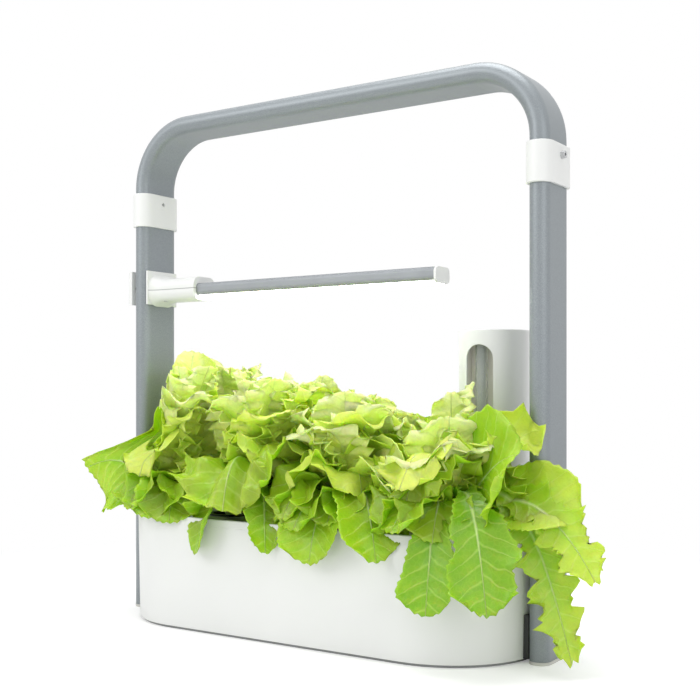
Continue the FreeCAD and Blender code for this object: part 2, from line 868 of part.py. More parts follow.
def rounded_bar(x0, x1, depth, z0, z1, corner, y=None):
    """A bar along X with rounded long edges."""
    y = light_centre_y if y is None else y
    body = box(x0, x1, y - depth / 2, y + depth / 2, z0, z1)
    return body.makeFillet(corner, [e for e in body.Edges if e.BoundBox.XLength > abs(x1 - x0) - 0.01])


def light_channel():
    outer = rounded_bar(light_start, light_end, light_depth, light_low, light_top, light_corner)
    inner = rounded_bar(light_start - 1, light_end + 1, light_depth - 2 * light_wall, light_low + light_wall,
                        light_top - light_wall, light_inner_corner)
    half = lens_slot / 2
    y0, y1 = light_centre_y - half, light_centre_y + half
    slot = box(arm_end + 1, light_end + 1, y0, y1, light_low - 1, light_mid)
    return single(outer.cut(inner).cut(slot))


def light_diffuser():
    """White lens that snaps into the channel's slot and stands a little below it."""
    half = lens_slot / 2 - lens_gap
    x0 = arm_end + 1 + lens_gap
    x1 = light_end
    low = light_low - lens_drop
    z1 = light_low + light_wall + lens_gap
    body = box(x0, x1, light_centre_y - half, light_centre_y + half, low, z1 + lens_edge)
    edges = [e for e in body.Edges if e.BoundBox.XLength > 1 and e.BoundBox.ZMax < low + 0.01]
    body = body.makeFillet(lens_edge, edges)
    lip = half + lens_lip
    body = body.fuse(box(x0, x1, light_centre_y - lip, light_centre_y + lip, z1, z1 + lens_edge))
    inner = half - lens_wall
    body = body.cut(box(x0 + lens_wall, x1 + 1, light_centre_y - inner, light_centre_y + inner,
                        low + lens_wall, z1 + 2 * lens_edge))
    return single(body)


led_top = light_top - light_wall
led_low = led_top - led_board_thick


def led_board():
    half = light_depth / 2 - light_corner
    y0, y1 = light_centre_y - half, light_centre_y + half
    return box(arm_end - led_margin, light_end - led_size, y0, y1, led_low, led_top)


def led_chips():
    found = []
    first = arm_end + led_margin
    pitch = (light_end - led_margin - first) / (led_count / 2 - 1)
    for row in (-1, 1):
        for i in range(led_count // 2):
            x = first + i * pitch
            y = light_centre_y + row * led_row
            h = led_size / 2
            found.append(box(x - h, x + h, y - h, y + h, led_low - led_height, led_low))
    return found


def light_end_cap():
    body = rounded_bar(light_end, light_end + end_cap_length, light_depth, light_low - lens_drop, light_top,
                       light_corner)
    inside = light_wall + light_inner_corner
    plug = rounded_bar(light_end - end_cap_length, light_end + 1, light_depth - 2 * inside,
                       light_mid - lens_wall, light_mid + lens_wall, lens_wall / 2)
    return single(body.fuse(plug))


def arm_solid(shrink, x1):
    """The boss's outer form: an oval bar that flares where it meets the clamp."""
    sections = []
    for i in range(arm_flare_steps + 1):
        along = i / arm_flare_steps
        flare = arm_flare * (1 - along) ** 3
        sections.append(arm_section(arm_start + along * arm_flare_length, flare - shrink))
    bell = Part.makeLoft(sections, True, False)
    bar = Part.Face(arm_section(arm_start + arm_flare_length, -shrink))
    return bell.fuse(bar.extrude(Vector(x1 - arm_start - arm_flare_length, 0, 0)))


def arm_section(x, grow):
    half_z = arm_height / 2 + grow
    return rounded_wire(x, arm_depth / 2 + grow, half_z, min(arm_corner + grow, half_z - 0.5))


def rounded_wire(x, half_y, half_z, r):
    """Rounded rectangle across the bar at x."""
    y0, y1 = light_centre_y - half_y, light_centre_y + half_y
    z0, z1 = arm_mid - half_z, arm_mid + half_z
    k = r * (1 - math.sqrt(0.5))
    p = [(y0 + r, z0), (y1 - r, z0), (y1 - k, z0 + k), (y1, z0 + r), (y1, z1 - r), (y1 - k, z1 - k),
         (y1 - r, z1), (y0 + r, z1), (y0 + k, z1 - k), (y0, z1 - r), (y0, z0 + r), (y0 + k, z0 + k)]
    v = [Vector(x, y, z) for y, z in p]
    edges = []
    for i in range(4):
        a, b, c, d = v[3 * i], v[3 * i + 1], v[3 * i + 2], v[(3 * i + 3) % 12]
        edges.append(Part.makeLine(a, b))
        edges.append(Part.Arc(b, c, d).toShape())
    return Part.Wire(edges)


def arm_shell(upper):
    body = arm_solid(0, arm_end)
    low, high = arm_low - arm_height, arm_top + arm_height
    face = box(arm_start - 1, arm_start + arm_face, -arm_depth, arm_depth, low, high)
    body = body.cut(arm_solid(arm_wall, arm_end - arm_wall).cut(face))
    grip = rounded_bar(light_start - arm_face, arm_end + 1, light_depth + 2 * lens_gap, light_low - lens_gap,
                       light_top + lens_gap, light_corner)
    body = body.cut(grip)
    if upper:
        half = box(arm_start - 1, arm_end + 1, -arm_depth, arm_depth, arm_mid, high)
        post_low, post_high = arm_mid, arm_top - 1
    else:
        half = box(arm_start - 1, arm_end + 1, -arm_depth, arm_depth, low, arm_mid)
        post_low, post_high = arm_low + 1, arm_mid
    body = body.common(half)
    for x, y in arm_screw_places():
        boss = rod(arm_boss_radius, Vector(x, y, post_low), Vector(x, y, post_high))
        body = body.fuse(boss)
        under = Vector(x, y, arm_low - arm_flare)
        body = body.cut(rod(arm_screw_radius + bolt_clearance, under, Vector(x, y, arm_mid + arm_screw_bite)))
        body = body.cut(rod(arm_screw_head + lid_gap, under, Vector(x, y, arm_low + arm_screw_sink)))
    return single(body)


def arm_screw_places():
    x = arm_start + arm_screw_setback
    return [(x, light_centre_y - arm_screw_pitch / 2), (x, light_centre_y + arm_screw_pitch / 2)]


def arm_screws():
    found = []
    for x, y in arm_screw_places():
        seat = Vector(x, y, arm_low + arm_screw_sink)
        length = arm_height / 2 - arm_screw_sink + arm_screw_bite - 1
        found.append(pan_screw(seat, Vector(0, 0, -1), length, arm_screw_radius, arm_screw_head,
                               arm_screw_head_height))
    return found


def clamp_ring():
    """White C round the post: inner plate, back and outer wall, open at the post's front."""
    z1 = ring_low + ring_height
    x = -half_spacing
    x0 = -post_outer - ring_gap - ring_outer_wall
    half_x = (ring_inner - x0) / 2
    mid_x = (ring_inner + x0) / 2
    back = tube_depth / 2 + ring_gap + ring_back_wall
    body = prism(stadium(half_x, back, ring_low, mid_x), ring_height)
    body = body.cut(tube_prism(x, ring_gap, ring_low - 1, z1 + 1))
    flat = tube_depth / 2 - tube_thick / 2
    body = body.cut(box(x0 - 1, ring_inner + 1, -back - 1, -flat, ring_low - 1, z1 + 1))
    front = -flat - ring_front
    plate = box(-post_inner + ring_gap, ring_inner, front, -flat + ring_overlap, ring_low, z1)
    body = body.fuse(plate)
    body = body.cut(clamp_pocket_box(0))
    body = body.cut(cover_screw_bars(cover_screw_radius + bolt_clearance, cover_screw_length))
    return single(body.removeSplitter())


def clamp_pocket_box(gap):
    half_y = clamp_pad_depth / 2 - gap
    half_z = clamp_pad_height / 2 - gap
    mid = ring_low + ring_height / 2
    x1 = -post_outer - ring_gap
    return box(x1 - clamp_pocket, x1 + (0 if gap else 1), -half_y, half_y, mid - half_z, mid + half_z)


def clamp_pad():
    """Rubber pad that rubs on the post's outer side."""
    body = clamp_pocket_box(clamp_pad_gap)
    x1 = -post_outer - ring_gap
    x0 = x1 - clamp_pocket + clamp_spring_rise + clamp_spring_thick
    return single(body.common(box(x0, x1, -cover_depth, cover_depth, ring_low, ring_low + ring_height)))


def clamp_spring():
    """Bowed leaf that presses the pad on the post."""
    x0 = -post_outer - ring_gap - clamp_pocket
    mid = ring_low + ring_height / 2
    half = clamp_pad_height / 2 - 1
    rise = clamp_spring_rise

    def bow(x):
        return (Vector(x, 0, mid - half), Vector(x + rise, 0, mid), Vector(x, 0, mid + half))
    near = bow(x0)
    far = bow(x0 + clamp_spring_thick)
    edges = [Part.Arc(*near).toShape(), Part.makeLine(near[2], far[2]), Part.Arc(*far).toShape(),
             Part.makeLine(far[0], near[0])]
    face = Part.Face(Part.Wire(edges))
    face.translate(Vector(0, -clamp_spring_width / 2, 0))
    return face.extrude(Vector(0, clamp_spring_width, 0))


def clamp_cover():
    """Rounded block on the ring's outer wall that closes the pad's pocket."""
    x1 = -post_outer - ring_gap - ring_outer_wall
    x0 = x1 - cover_thick
    half = cover_depth / 2
    body = box(x0, x1, -half, half, ring_low, ring_low + ring_height)
    outer = [e for e in body.Edges if e.BoundBox.XMax < x0 + 0.01]
    body = body.makeFillet(cover_round, outer)
    body = body.cut(clamp_pocket_box(0))
    return single(body.cut(cover_screw_bars(cover_screw_radius + bolt_clearance, cover_screw_length)))


def cover_screw_bars(radius, length):
    x1 = -post_outer - ring_gap - 1
    mid = ring_low + ring_height / 2
    bars = []
    for side in (-1, 1):
        at = Vector(x1, side * (clamp_pad_depth / 2 + cover_screw_margin), mid)
        bars.append(rod(radius, at, at - Vector(length, 0, 0)))
    return Part.makeCompound(bars)


def cover_screws():
    return cover_screw_bars(cover_screw_radius, cover_screw_length - bolt_clearance).Solids


def build():
    for side, word in ((-1, "left"), (1, "right")):
        save(word + "_post", post(side))
        save(word + "_collar", collar(side))
        save(word + "_spline", spline(side))
        save(word + "_post_foot", post_foot(side))
        save(word + "_post_saddle", post_saddle(side))
    save("arch_tube", arch())
    save("collar_bolts", collar_bolt(-1), collar_bolt(1))
    save("post_screws", *post_screws())
    save("nut_plates", nut_plate(-1), nut_plate(1))
    save("planter_shell", planter_shell())
    save("base_plinth", base_plinth())
    save("reservoir", reservoir())
    save("grow_deck", grow_deck())
    for name, x, y in pot_places():
        save("net_pot_" + name, net_pot(x, y))
        save("lettuce_" + name, lettuce(name, x, y))
    save("grow_sponges", *[grow_sponge(x, y) for name, x, y in pot_places()])
    save("tower_shell", tower_shell())
    save("tower_lid", tower_lid())
    save("gauge_liner", gauge_liner())
    save("level_tube", level_tube())
    save("level_float", level_float())
    save("pump_cover", pump_cover())
    save("pump_housing", pump_housing())
    save("pump_shaft", pump_shaft())
    save("pump_impeller", pump_impeller())
    save("pump_outlet", pump_outlet())
    save("pump_lead", pump_lead())
    save("control_board", control_board())
    save("power_jack", power_jack())
    save("light_channel", light_channel())
    save("light_diffuser", light_diffuser())
    save("led_board", led_board())
    save("led_chips", *led_chips())
    save("light_end_cap", light_end_cap())
    save("arm_upper_shell", arm_shell(True))
    save("arm_lower_shell", arm_shell(False))
    save("arm_screws", *arm_screws())
    save("clamp_ring", clamp_ring())
    save("clamp_pad", clamp_pad())
    save("clamp_spring", clamp_spring())
    save("clamp_cover", clamp_cover())
    save("cover_screws", *cover_screws())


build()
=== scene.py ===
import json
import math

import bpy
import numpy as np
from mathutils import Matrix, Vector


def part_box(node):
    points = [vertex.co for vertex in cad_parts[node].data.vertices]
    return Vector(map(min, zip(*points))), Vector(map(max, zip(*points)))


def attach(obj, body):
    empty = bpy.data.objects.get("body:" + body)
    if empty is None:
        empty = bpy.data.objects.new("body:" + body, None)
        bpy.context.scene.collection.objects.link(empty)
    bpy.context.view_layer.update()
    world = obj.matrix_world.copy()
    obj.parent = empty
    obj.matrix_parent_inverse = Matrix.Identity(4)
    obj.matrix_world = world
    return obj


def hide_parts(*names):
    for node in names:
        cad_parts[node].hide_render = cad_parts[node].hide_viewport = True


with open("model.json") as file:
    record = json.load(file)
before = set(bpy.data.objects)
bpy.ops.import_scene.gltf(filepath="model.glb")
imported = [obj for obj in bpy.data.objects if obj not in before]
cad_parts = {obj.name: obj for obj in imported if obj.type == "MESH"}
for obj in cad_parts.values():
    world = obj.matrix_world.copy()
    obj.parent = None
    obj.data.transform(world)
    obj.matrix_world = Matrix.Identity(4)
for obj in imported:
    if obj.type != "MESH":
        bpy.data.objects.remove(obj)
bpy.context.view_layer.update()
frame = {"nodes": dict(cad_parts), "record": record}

# Countertop hydroponic garden: camera and studio, finishes, sponges and lettuces.
# Metres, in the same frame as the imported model.

# Camera that the photograph was taken with
camera_place = (0.6695, -0.9639, 0.2513)
camera_turn = 33.675
camera_lens = 56.93
camera_shift = 0.0585

# Studio: each lamp's place, the height that it points at, its width and its power
lamps = {
    "Key_Light": ((-1.05, -1.75, 1.35), 0.20, 1.3, 13.8),
    "Side_Light": ((1.55, -0.75, 0.75), 0.15, 1.1, 4.0),
    "Top_Light": ((0.05, -0.10, 1.75), 0.20, 1.2, 16.0),
}
sky_light = 0.66
sky_in_gloss = 0.75
floor_lift = 0.23
floor_white_from = 0.38
floor_white_to = 0.75
floor_half = 6

# Forms that the leaves lie on or beside
planter_half = 0.239
planter_radius = 0.096
planter_height = 0.1195
planter_draft = 0.002
deck_top = 0.1065
post_x = 0.25
post_half = 0.010
post_depth = 0.02775
tower_place = (0.1745, 0.040)
tower_radius = 0.0352
tower_top = 0.3115
frame_top = 0.56
leaf_gap = 0.002
rim_width = 0.008
deck_give = 0.004

# The rear leaves bend back from here, and stay within this much of it
wall_start = 0.104
wall_room = 0.022

# The end plants' high leaves stay beside the left post: its way from them, and their room
left_post_way = (-0.832, -0.555)
left_post_room = {"front": 0.012, "rear": 0.046}
left_post_share = 0.80
left_post_from = 0.176
left_post_rise = 0.03
left_end = -0.15

# Plants: place and height of the top
plants = {
    "front_1": (-0.168, -0.042, 0.288),
    "front_2": (-0.056, -0.042, 0.280),
    "front_3": (0.056, -0.042, 0.262),
    "front_4": (0.168, -0.042, 0.240),
    "rear_1": (-0.168, 0.042, 0.296),
    "rear_2": (-0.056, 0.042, 0.276),
    "rear_3": (0.056, 0.042, 0.246),
}
sponge_radius = 0.015
sponge_low = 0.0539
sponge_top = 0.0999
slit_depth = 0.004

# Kinds of leaf that differ from a common one in outline, frill, folds or mesh
folded = {"folds": 0.007, "pitch": 0.022}
rolled = {"cup": 0.9}
spoon = {"opens": 0.44, "widest": 0.90, "neck": 0.32}
broad_end = {"opens": 0.36, "widest": 0.86, "neck": 0.26, "teeth": 1.6}
jagged = {"teeth": 2.6}
curly = {"pitch": 0.016, "step": 0.0024, "teeth": 0.7}
curly_rolled = dict(curly, teeth=0.5, cup=0.9)
curly_fine = dict(curly, pitch=0.015)

# Large leaves: turn, reach, height of the arch, height of the tip, width, the lean about the
# midrib in degrees, the frill's depth, the depth and number of the lobes, the tone and the kind
large_leaves = {
    "front_1": ((-149, 0.107, 0.168, 0.165, 0.132, -74, 0.003, 0.05, 2.4, 0.50),
                (-168, 0.078, 0.196, 0.186, 0.086, -50, 0.006, 0.08, 2.4, 0.65),
                (-60, 0.068, 0.152, 0.112, 0.078, 0, 0.004, 0.05, 2.0, 0.40),
                (-102, 0.068, 0.158, 0.124, 0.070, 0, 0.006, 0.08, 2.5, 0.50),
                (117, 0.045, 0.236, 0.298, 0.076, 0, 0.004, 0.08, 2.5, 0.90)),
    "front_2": ((-120, 0.074, 0.150, 0.084, 0.050, 0, 0.0015, 0.02, 1.0, 0.42),
                (-50, 0.082, 0.152, 0.091, 0.042, 0, 0.004, 0.16, 3.0, 0.38),
                (-82, 0.077, 0.178, 0.132, 0.126, 4, 0.008, 0.08, 4.0, 0.55, folded)),
    "front_3": ((-92, 0.070, 0.150, 0.087, 0.080, 0, 0.002, 0.03, 1.5, 0.45),
                (-118, 0.074, 0.166, 0.126, 0.062, -12, 0.004, 0.05, 2.0, 0.50),
                (-43, 0.098, 0.156, 0.094, 0.074, 0, 0.003, 0.08, 2.5, 0.42),
                (-26, 0.096, 0.182, 0.150, 0.052, 40, 0.003, 0.05, 2.0, 1.0, rolled)),
    "front_4": ((-76, 0.082, 0.150, 0.054, 0.058, 0, 0.002, 0.10, 1.2, 0.24, spoon),
                (-45, 0.110, 0.158, 0.060, 0.068, 4, 0.003, 0.22, 2.6, 0.24, broad_end),
                (-2, 0.128, 0.150, 0.138, 0.080, 52, 0.002, 0.03, 1.5, 0.66),
                (-7, 0.130, 0.152, 0.014, 0.044, 58, 0.003, 0.50, 8.0, 0.60, jagged),
                (-6, 0.152, 0.152, 0.086, 0.046, 58, 0.003, 0.40, 5.0, 0.64, jagged),
                (-24, 0.096, 0.172, 0.196, 0.120, 72, 0.004, 0.06, 2.4, 0.46),
                (4, 0.086, 0.196, 0.192, 0.066, 30, 0.006, 0.06, 3.0, 0.74, curly_rolled),
                (45, 0.018, 0.190, 0.260, 0.050, 0, 0.008, 0.12, 3.0, 0.98, curly_fine),
                (110, 0.016, 0.190, 0.250, 0.052, 0, 0.008, 0.12, 3.0, 0.95, curly)),
    "rear_1": ((-165, 0.044, 0.255, 0.270, 0.070, -30, 0.008, 0.10, 2.5, 0.90),
               (112, 0.060, 0.210, 0.168, 0.084, 0, 0.008, 0.10, 2.5, 0.50)),
    "rear_2": ((90, 0.062, 0.204, 0.160, 0.090, 0, 0.008, 0.10, 2.5, 0.50),),
    "rear_3": ((78, 0.064, 0.194, 0.156, 0.088, 0, 0.008, 0.10, 2.5, 0.50),
               (30, 0.058, 0.212, 0.190, 0.066, 0, 0.008, 0.10, 2.5, 0.60)),
}

# Crowded leaves: ranges of the reach, of the tip's height or its drop below the plant's top, of
# the width and of the tone; the arch's rise over the tip and how far the tip curls
# The crown's tones reach the palest leaf colour, which holds a painted highlight
crown = {"reach": (0.010, 0.028), "drop": (0.0, 0.012), "width": (0.070, 0.086),
         "tone": (0.88, 1.0), "bow": 0.012, "curl": 0.012}
middle = {"reach": (0.042, 0.056), "drop": (0.018, 0.05), "width": (0.09, 0.11),
          "tone": (0.78, 1.0), "bow": 0.02, "curl": 0.018}
outer = {"reach": (0.054, 0.066), "height": (0.136, 0.170), "width": (0.09, 0.112),
         "tone": (0.50, 0.80), "bow": (0.012, 0.034), "curl": 0.006}
skirt = {"reach": (0.064, 0.074), "height": (0.112, 0.128), "width": (0.074, 0.092),
         "tone": (0.35, 0.5), "arch": 0.152}
crowd = [crown] * 5 + [middle] * 7 + [outer] * 7
crowd_turn = 137.5
crowd_mesh = {"step": 0.0031, "pitch": 0.016, "folds": 0.0025, "teeth": 0.9}
skirt_turns = (36, 72, 108, 144)
skirt_mesh = {"step": 0.0036, "pitch": 0.026}

# Broad single leaves keep the low crowded ones this many degrees away
broad_width = 0.1
broad_turn = 42


# Camera and lamps
def photo_camera():
    data = bpy.data.cameras.new("Photo_Camera")
    data.sensor_width = 36.0
    data.lens = camera_lens
    data.shift_y = camera_shift
    camera = bpy.data.objects.new("Photo_Camera", data)
    camera.location = camera_place
    camera.rotation_euler = (math.radians(90), 0, math.radians(camera_turn))
    bpy.context.scene.collection.objects.link(camera)
    bpy.context.scene.camera = camera


def softbox(name, place, aim, size, power):
    """A round soft lamp that points at a height over the middle of the floor."""
    data = bpy.data.lights.new(name, "AREA")
    data.shape = "DISK"
    data.size = size
    data.energy = power
    lamp = bpy.data.objects.new(name, data)
    lamp.location = place
    lamp.rotation_euler = (Vector((0, 0, aim)) - Vector(place)).to_track_quat("-Z", "Y").to_euler()
    bpy.context.scene.collection.objects.link(lamp)


# Node tools
def add(tree, kind, inputs=None, **settings):
    """A shader node with its settings, and values or links for its sockets."""
    made = tree.nodes.new("ShaderNode" + kind)
    for name, value in settings.items():
        setattr(made, name, value)
    for socket, value in (inputs or {}).items():
        if isinstance(value, bpy.types.NodeSocket):
            tree.links.new(value, made.inputs[socket])
        else:
            made.inputs[socket].default_value = value
    return made


def calc(tree, operation, a, b=0.0, clamp=False):
    return add(tree, "Math", {0: a, 1: b}, operation=operation, use_clamp=clamp).outputs[0]


def ramp(tree, value, low, high, to_low=0.0, to_high=1.0):
    """Smooth step of a value from one range to another."""
    sockets = {"Value": value, "From Min": low, "From Max": high, "To Min": to_low, "To Max": to_high}
    return add(tree, "MapRange", sockets, interpolation_type="SMOOTHSTEP").outputs["Result"]


def tint(tree, share, first, second):
    """Colour between two by a mask."""
    sockets = {0: share, 6: first, 7: second}
    return add(tree, "Mix", sockets, data_type="RGBA").outputs[2]


def effect(name, inputs, outputs):
    """A node group with named sockets, ready to fill."""
    tree = bpy.data.node_groups.new(name, "ShaderNodeTree")
    for label, kind, value in inputs:
        socket = tree.interface.new_socket(name=label, in_out="INPUT", socket_type="NodeSocket" + kind)
        if value is not None:
            socket.default_value = value
    for label, kind in outputs:
        tree.interface.new_socket(name=label, in_out="OUTPUT", socket_type="NodeSocket" + kind)
    return tree, tree.nodes.new("NodeGroupInput").outputs, tree.nodes.new("NodeGroupOutput").inputs


def use(tree, group, inputs=None):
    made = tree.nodes.new("ShaderNodeGroup")
    made.node_tree = group
    for socket, value in (inputs or {}).items():
        if isinstance(value, bpy.types.NodeSocket):
            tree.links.new(value, made.inputs[socket])
        else:
            made.inputs[socket].default_value = value
    return made.outputs


# Effects that several finishes share
def skin_effect():
    """Fine grain of a moulded or painted skin, and the faint drift of its shade."""
    tree, given, result = effect(
        "Fine_Skin", [("Grain Scale", "Float", 900.0), ("Drift Scale", "Float", 7.0)],
        [("Height", "Float"), ("Drift", "Float")])
    place = add(tree, "TexCoord").outputs["Object"]
    grain = add(tree, "TexNoise", {"Vector": place, "Scale": given["Grain Scale"], "Detail": 3.0,
                                   "Roughness": 0.6}).outputs["Fac"]
    drift = add(tree, "TexNoise", {"Vector": place, "Scale": given["Drift Scale"],
                                   "Detail": 2.0}).outputs["Fac"]
    tree.links.new(grain, result["Height"])
    tree.links.new(ramp(tree, drift, 0.3, 0.7), result["Drift"])
    return tree


def edge_effect():
    """Softened edges, and a mask of their lighter rims: a painted highlight with light wear, in patches."""
    tree, given, result = effect("Soft_Edge", [("Radius", "Float", 0.0005)],
                                 [("Normal", "Vector"), ("Glint And Wear", "Float")])
    soft = add(tree, "Bevel", {"Radius": given["Radius"]}, samples=4).outputs[0]
    flat = add(tree, "NewGeometry").outputs["Normal"]
    same = add(tree, "VectorMath", {0: soft, 1: flat}, operation="DOT_PRODUCT").outputs["Value"]
    place = add(tree, "TexCoord").outputs["Object"]
    patch = add(tree, "TexNoise", {"Vector": place, "Scale": 60.0, "Detail": 3.0}).outputs["Fac"]
    edge_glint_and_wear = calc(tree, "MULTIPLY", calc(tree, "SUBTRACT", 1.0, same), 5.0, True)
    tree.links.new(soft, result["Normal"])
    tree.links.new(calc(tree, "MULTIPLY", edge_glint_and_wear, ramp(tree, patch, 0.35, 0.65)), result["Glint And Wear"])
    return tree


def dust_effect():
    """Mask of fine dust on faces that look up."""
    tree, given, result = effect("Settled_Dust", [("Amount", "Float", 0.3)], [("Dust", "Float")])
    normal = add(tree, "NewGeometry").outputs["Normal"]
    up = add(tree, "SeparateXYZ", {0: normal}).outputs["Z"]
    place = add(tree, "TexCoord").outputs["Object"]
    patch = add(tree, "TexNoise", {"Vector": place, "Scale": 24.0, "Detail": 5.0}).outputs["Fac"]
    lying = calc(tree, "MULTIPLY", ramp(tree, up, 0.5, 1.0), ramp(tree, patch, 0.4, 0.75))
    tree.links.new(calc(tree, "MULTIPLY", lying, given["Amount"]), result["Dust"])
    return tree


def brush_effect():
    """Fine drawn lines in metal along X."""
    tree, given, result = effect("Drawn_Lines", [("Pitch Scale", "Float", 1600.0)], [("Lines", "Float")])
    place = add(tree, "TexCoord").outputs["Object"]
    along = add(tree, "Mapping", {"Vector": place, "Scale": (0.02, 1.0, 1.0)}).outputs[0]
    lines = add(tree, "TexNoise", {"Vector": along, "Scale": given["Pitch Scale"],
                                   "Detail": 2.0}).outputs["Fac"]
    tree.links.new(lines, result["Lines"])
    return tree


def vein_effect():
    """A leaf's midrib, side veins and net, from its share and its flat place."""
    tree, given, result = effect(
        "Leaf_Veins",
        [("Pitch", "Float", 0.013), ("Side Width", "Float", 0.0011), ("Net Scale", "Float", 190.0)],
        [("Rib", "Float"), ("Veins", "Float"), ("Net", "Float"), ("Tone And Light", "Float"), ("Margin", "Float")])
    share = add(tree, "Attribute", attribute_name="leaf_share").outputs["Vector"]
    share = add(tree, "SeparateXYZ", {0: share})
    flat = add(tree, "Attribute", attribute_name="leaf_flat").outputs["Vector"]
    along, across, seed = add(tree, "SeparateXYZ", {0: flat}).outputs
    wide = calc(tree, "ABSOLUTE", across)
    rib_width = ramp(tree, share.outputs["X"], 0.0, 1.0, 0.0042, 0.0005)
    rib = calc(tree, "SUBTRACT", 1.0, calc(tree, "DIVIDE", wide, rib_width), True)
    place = add(tree, "CombineXYZ", {0: along, 1: across, 2: calc(tree, "MULTIPLY", seed, 0.37)}).outputs[0]
    sway = add(tree, "TexNoise", {"Vector": place, "Scale": 45.0, "Detail": 2.0}).outputs["Fac"]
    back = calc(tree, "MULTIPLY", wide, 0.62)
    shift = calc(tree, "MULTIPLY", calc(tree, "SUBTRACT", sway, 0.5), 0.011)
    half_step = calc(tree, "MULTIPLY", calc(tree, "GREATER_THAN", across, 0.0), 0.45)
    line = calc(tree, "ADD", calc(tree, "SUBTRACT", along, back), shift)
    line = calc(tree, "ADD", calc(tree, "DIVIDE", line, given["Pitch"]), half_step)
    near = calc(tree, "ABSOLUTE", calc(tree, "SUBTRACT", calc(tree, "FRACT", line), 0.5))
    near = calc(tree, "MULTIPLY", calc(tree, "SUBTRACT", 0.5, near), given["Pitch"])
    thin = ramp(tree, calc(tree, "ABSOLUTE", share.outputs["Y"]), 0.0, 1.0, 1.0, 0.3)
    side_width = calc(tree, "MULTIPLY", given["Side Width"], thin)
    side = calc(tree, "SUBTRACT", 1.0, calc(tree, "DIVIDE", near, side_width), True)
    cells = add(tree, "TexVoronoi", {"Vector": place, "Scale": given["Net Scale"], "Randomness": 1.0},
                feature="DISTANCE_TO_EDGE").outputs["Distance"]
    net = ramp(tree, cells, 0.0, 0.16, 1.0, 0.0)
    tree.links.new(rib, result["Rib"])
    tree.links.new(side, result["Veins"])
    tree.links.new(net, result["Net"])
    tree.links.new(share.outputs["Z"], result["Tone And Light"])
    tree.links.new(ramp(tree, calc(tree, "ABSOLUTE", share.outputs["Y"]), 0.8, 1.0), result["Margin"])
    return tree


fine_skin = skin_effect()
soft_edge = edge_effect()
settled_dust = dust_effect()
drawn_lines = brush_effect()
leaf_veins = vein_effect()


# Finishes
white_colour = (0.83, 0.84, 0.825)
dust_colour = (0.62, 0.60, 0.56, 1.0)
# The arm seam's painted shade, and the half width of its line
seam_shade_colour = (0.16, 0.16, 0.16, 1.0)
seam_half = 0.0006
paint_colour = (0.270, 0.298, 0.316)
leaf_dark = (0.100, 0.270, 0.003, 1.0)
leaf_green = (0.330, 0.560, 0.012, 1.0)
leaf_yellow = (0.740, 0.980, 0.130, 1.0)
# Pale heart leaves, paled further as a painted highlight
leaf_pale_and_highlight = (0.860, 1.000, 0.430, 1.0)
leaf_shade = (0.10, 0.26, 0.003, 1.0)
leaf_speck = (0.16, 0.36, 0.005, 1.0)
leaf_net = (0.60, 0.80, 0.12, 1.0)
leaf_margin = (0.46, 0.68, 0.03, 1.0)
leaf_vein = (0.62, 0.82, 0.20, 1.0)
leaf_rib = (0.66, 0.82, 0.34, 1.0)


def finish(name, **values):
    """A new material with its shader, and the plain values set on the shader's own sockets."""
    material = bpy.data.materials.new(name)
    material.use_nodes = True
    tree = material.node_tree
    tree.nodes.clear()
    shader = add(tree, "BsdfPrincipled")
    for label, value in values.items():
        shader.inputs[label.replace("_", " ")].default_value = value
    add(tree, "OutputMaterial", {"Surface": shader.outputs[0]})
    return material, tree, shader


def shade(colour, share):
    return tuple(min(1.0, part * share) for part in colour) + (1.0,)


def bump(tree, height, depth, normal=None):
    sockets = {"Height": height, "Distance": depth, "Strength": 1.0}
    if normal is not None:
        sockets["Normal"] = normal
    return add(tree, "Bump", sockets).outputs[0]


def moulded(name, colour, rough, grain=1100.0, depth=0.00003, dust=0.10, edge=0.0005, edge_glint_and_wear=1.12, **values):
    """Moulded plastic: fine grain, a faint drift of shade, softened edges lightened by a painted highlight
    with light wear, and a little dust.
    """
    material, tree, shader = finish(name, **values)
    skin = use(tree, fine_skin, {"Grain Scale": grain, "Drift Scale": 6.0})
    rim = use(tree, soft_edge, {"Radius": edge})
    fallen = use(tree, settled_dust, {"Amount": dust})["Dust"]
    body = tint(tree, skin["Drift"], shade(colour, 0.965), shade(colour, 1.0))
    # Lighter edges: a painted highlight, with light wear
    body = tint(tree, rim["Glint And Wear"], body, shade(colour, edge_glint_and_wear))
    body = tint(tree, fallen, body, dust_colour)
    tree.links.new(body, shader.inputs["Base Color"])
    uneven = ramp(tree, skin["Drift"], 0.0, 1.0, rough - 0.03, rough + 0.04)
    uneven = calc(tree, "ADD", uneven, calc(tree, "MULTIPLY", fallen, 0.6), True)
    tree.links.new(uneven, shader.inputs["Roughness"])
    tree.links.new(bump(tree, skin["Height"], depth, rim["Normal"]), shader.inputs["Normal"])
    return material


def frame_paint():
    """Metallic grey paint: fine flakes under a satin skin with a trace of orange peel."""
    material, tree, shader = finish("Frame_Paint", Metallic=0.35, Coat_Weight=0.15, Coat_Roughness=0.35)
    place = add(tree, "TexCoord").outputs["Object"]
    flake = add(tree, "TexVoronoi", {"Vector": place, "Scale": 2600.0}).outputs["Color"]
    flake = add(tree, "SeparateColor", {0: flake}).outputs[0]
    skin = use(tree, fine_skin, {"Grain Scale": 420.0, "Drift Scale": 5.0})
    rim = use(tree, soft_edge, {"Radius": 0.0006})
    body = tint(tree, flake, shade(paint_colour, 0.80), shade(paint_colour, 1.20))
    body = tint(tree, calc(tree, "MULTIPLY", skin["Drift"], 0.35), body, shade(paint_colour, 0.95))
    # Lighter edges: a painted highlight, with light wear
    body = tint(tree, rim["Glint And Wear"], body, shade(paint_colour, 1.25))
    body = tint(tree, use(tree, settled_dust, {"Amount": 0.12})["Dust"], body, dust_colour)
    tree.links.new(body, shader.inputs["Base Color"])
    tree.links.new(ramp(tree, flake, 0.0, 1.0, 0.36, 0.48), shader.inputs["Roughness"])
    tree.links.new(bump(tree, skin["Height"], 0.00004, rim["Normal"]), shader.inputs["Normal"])
    return material


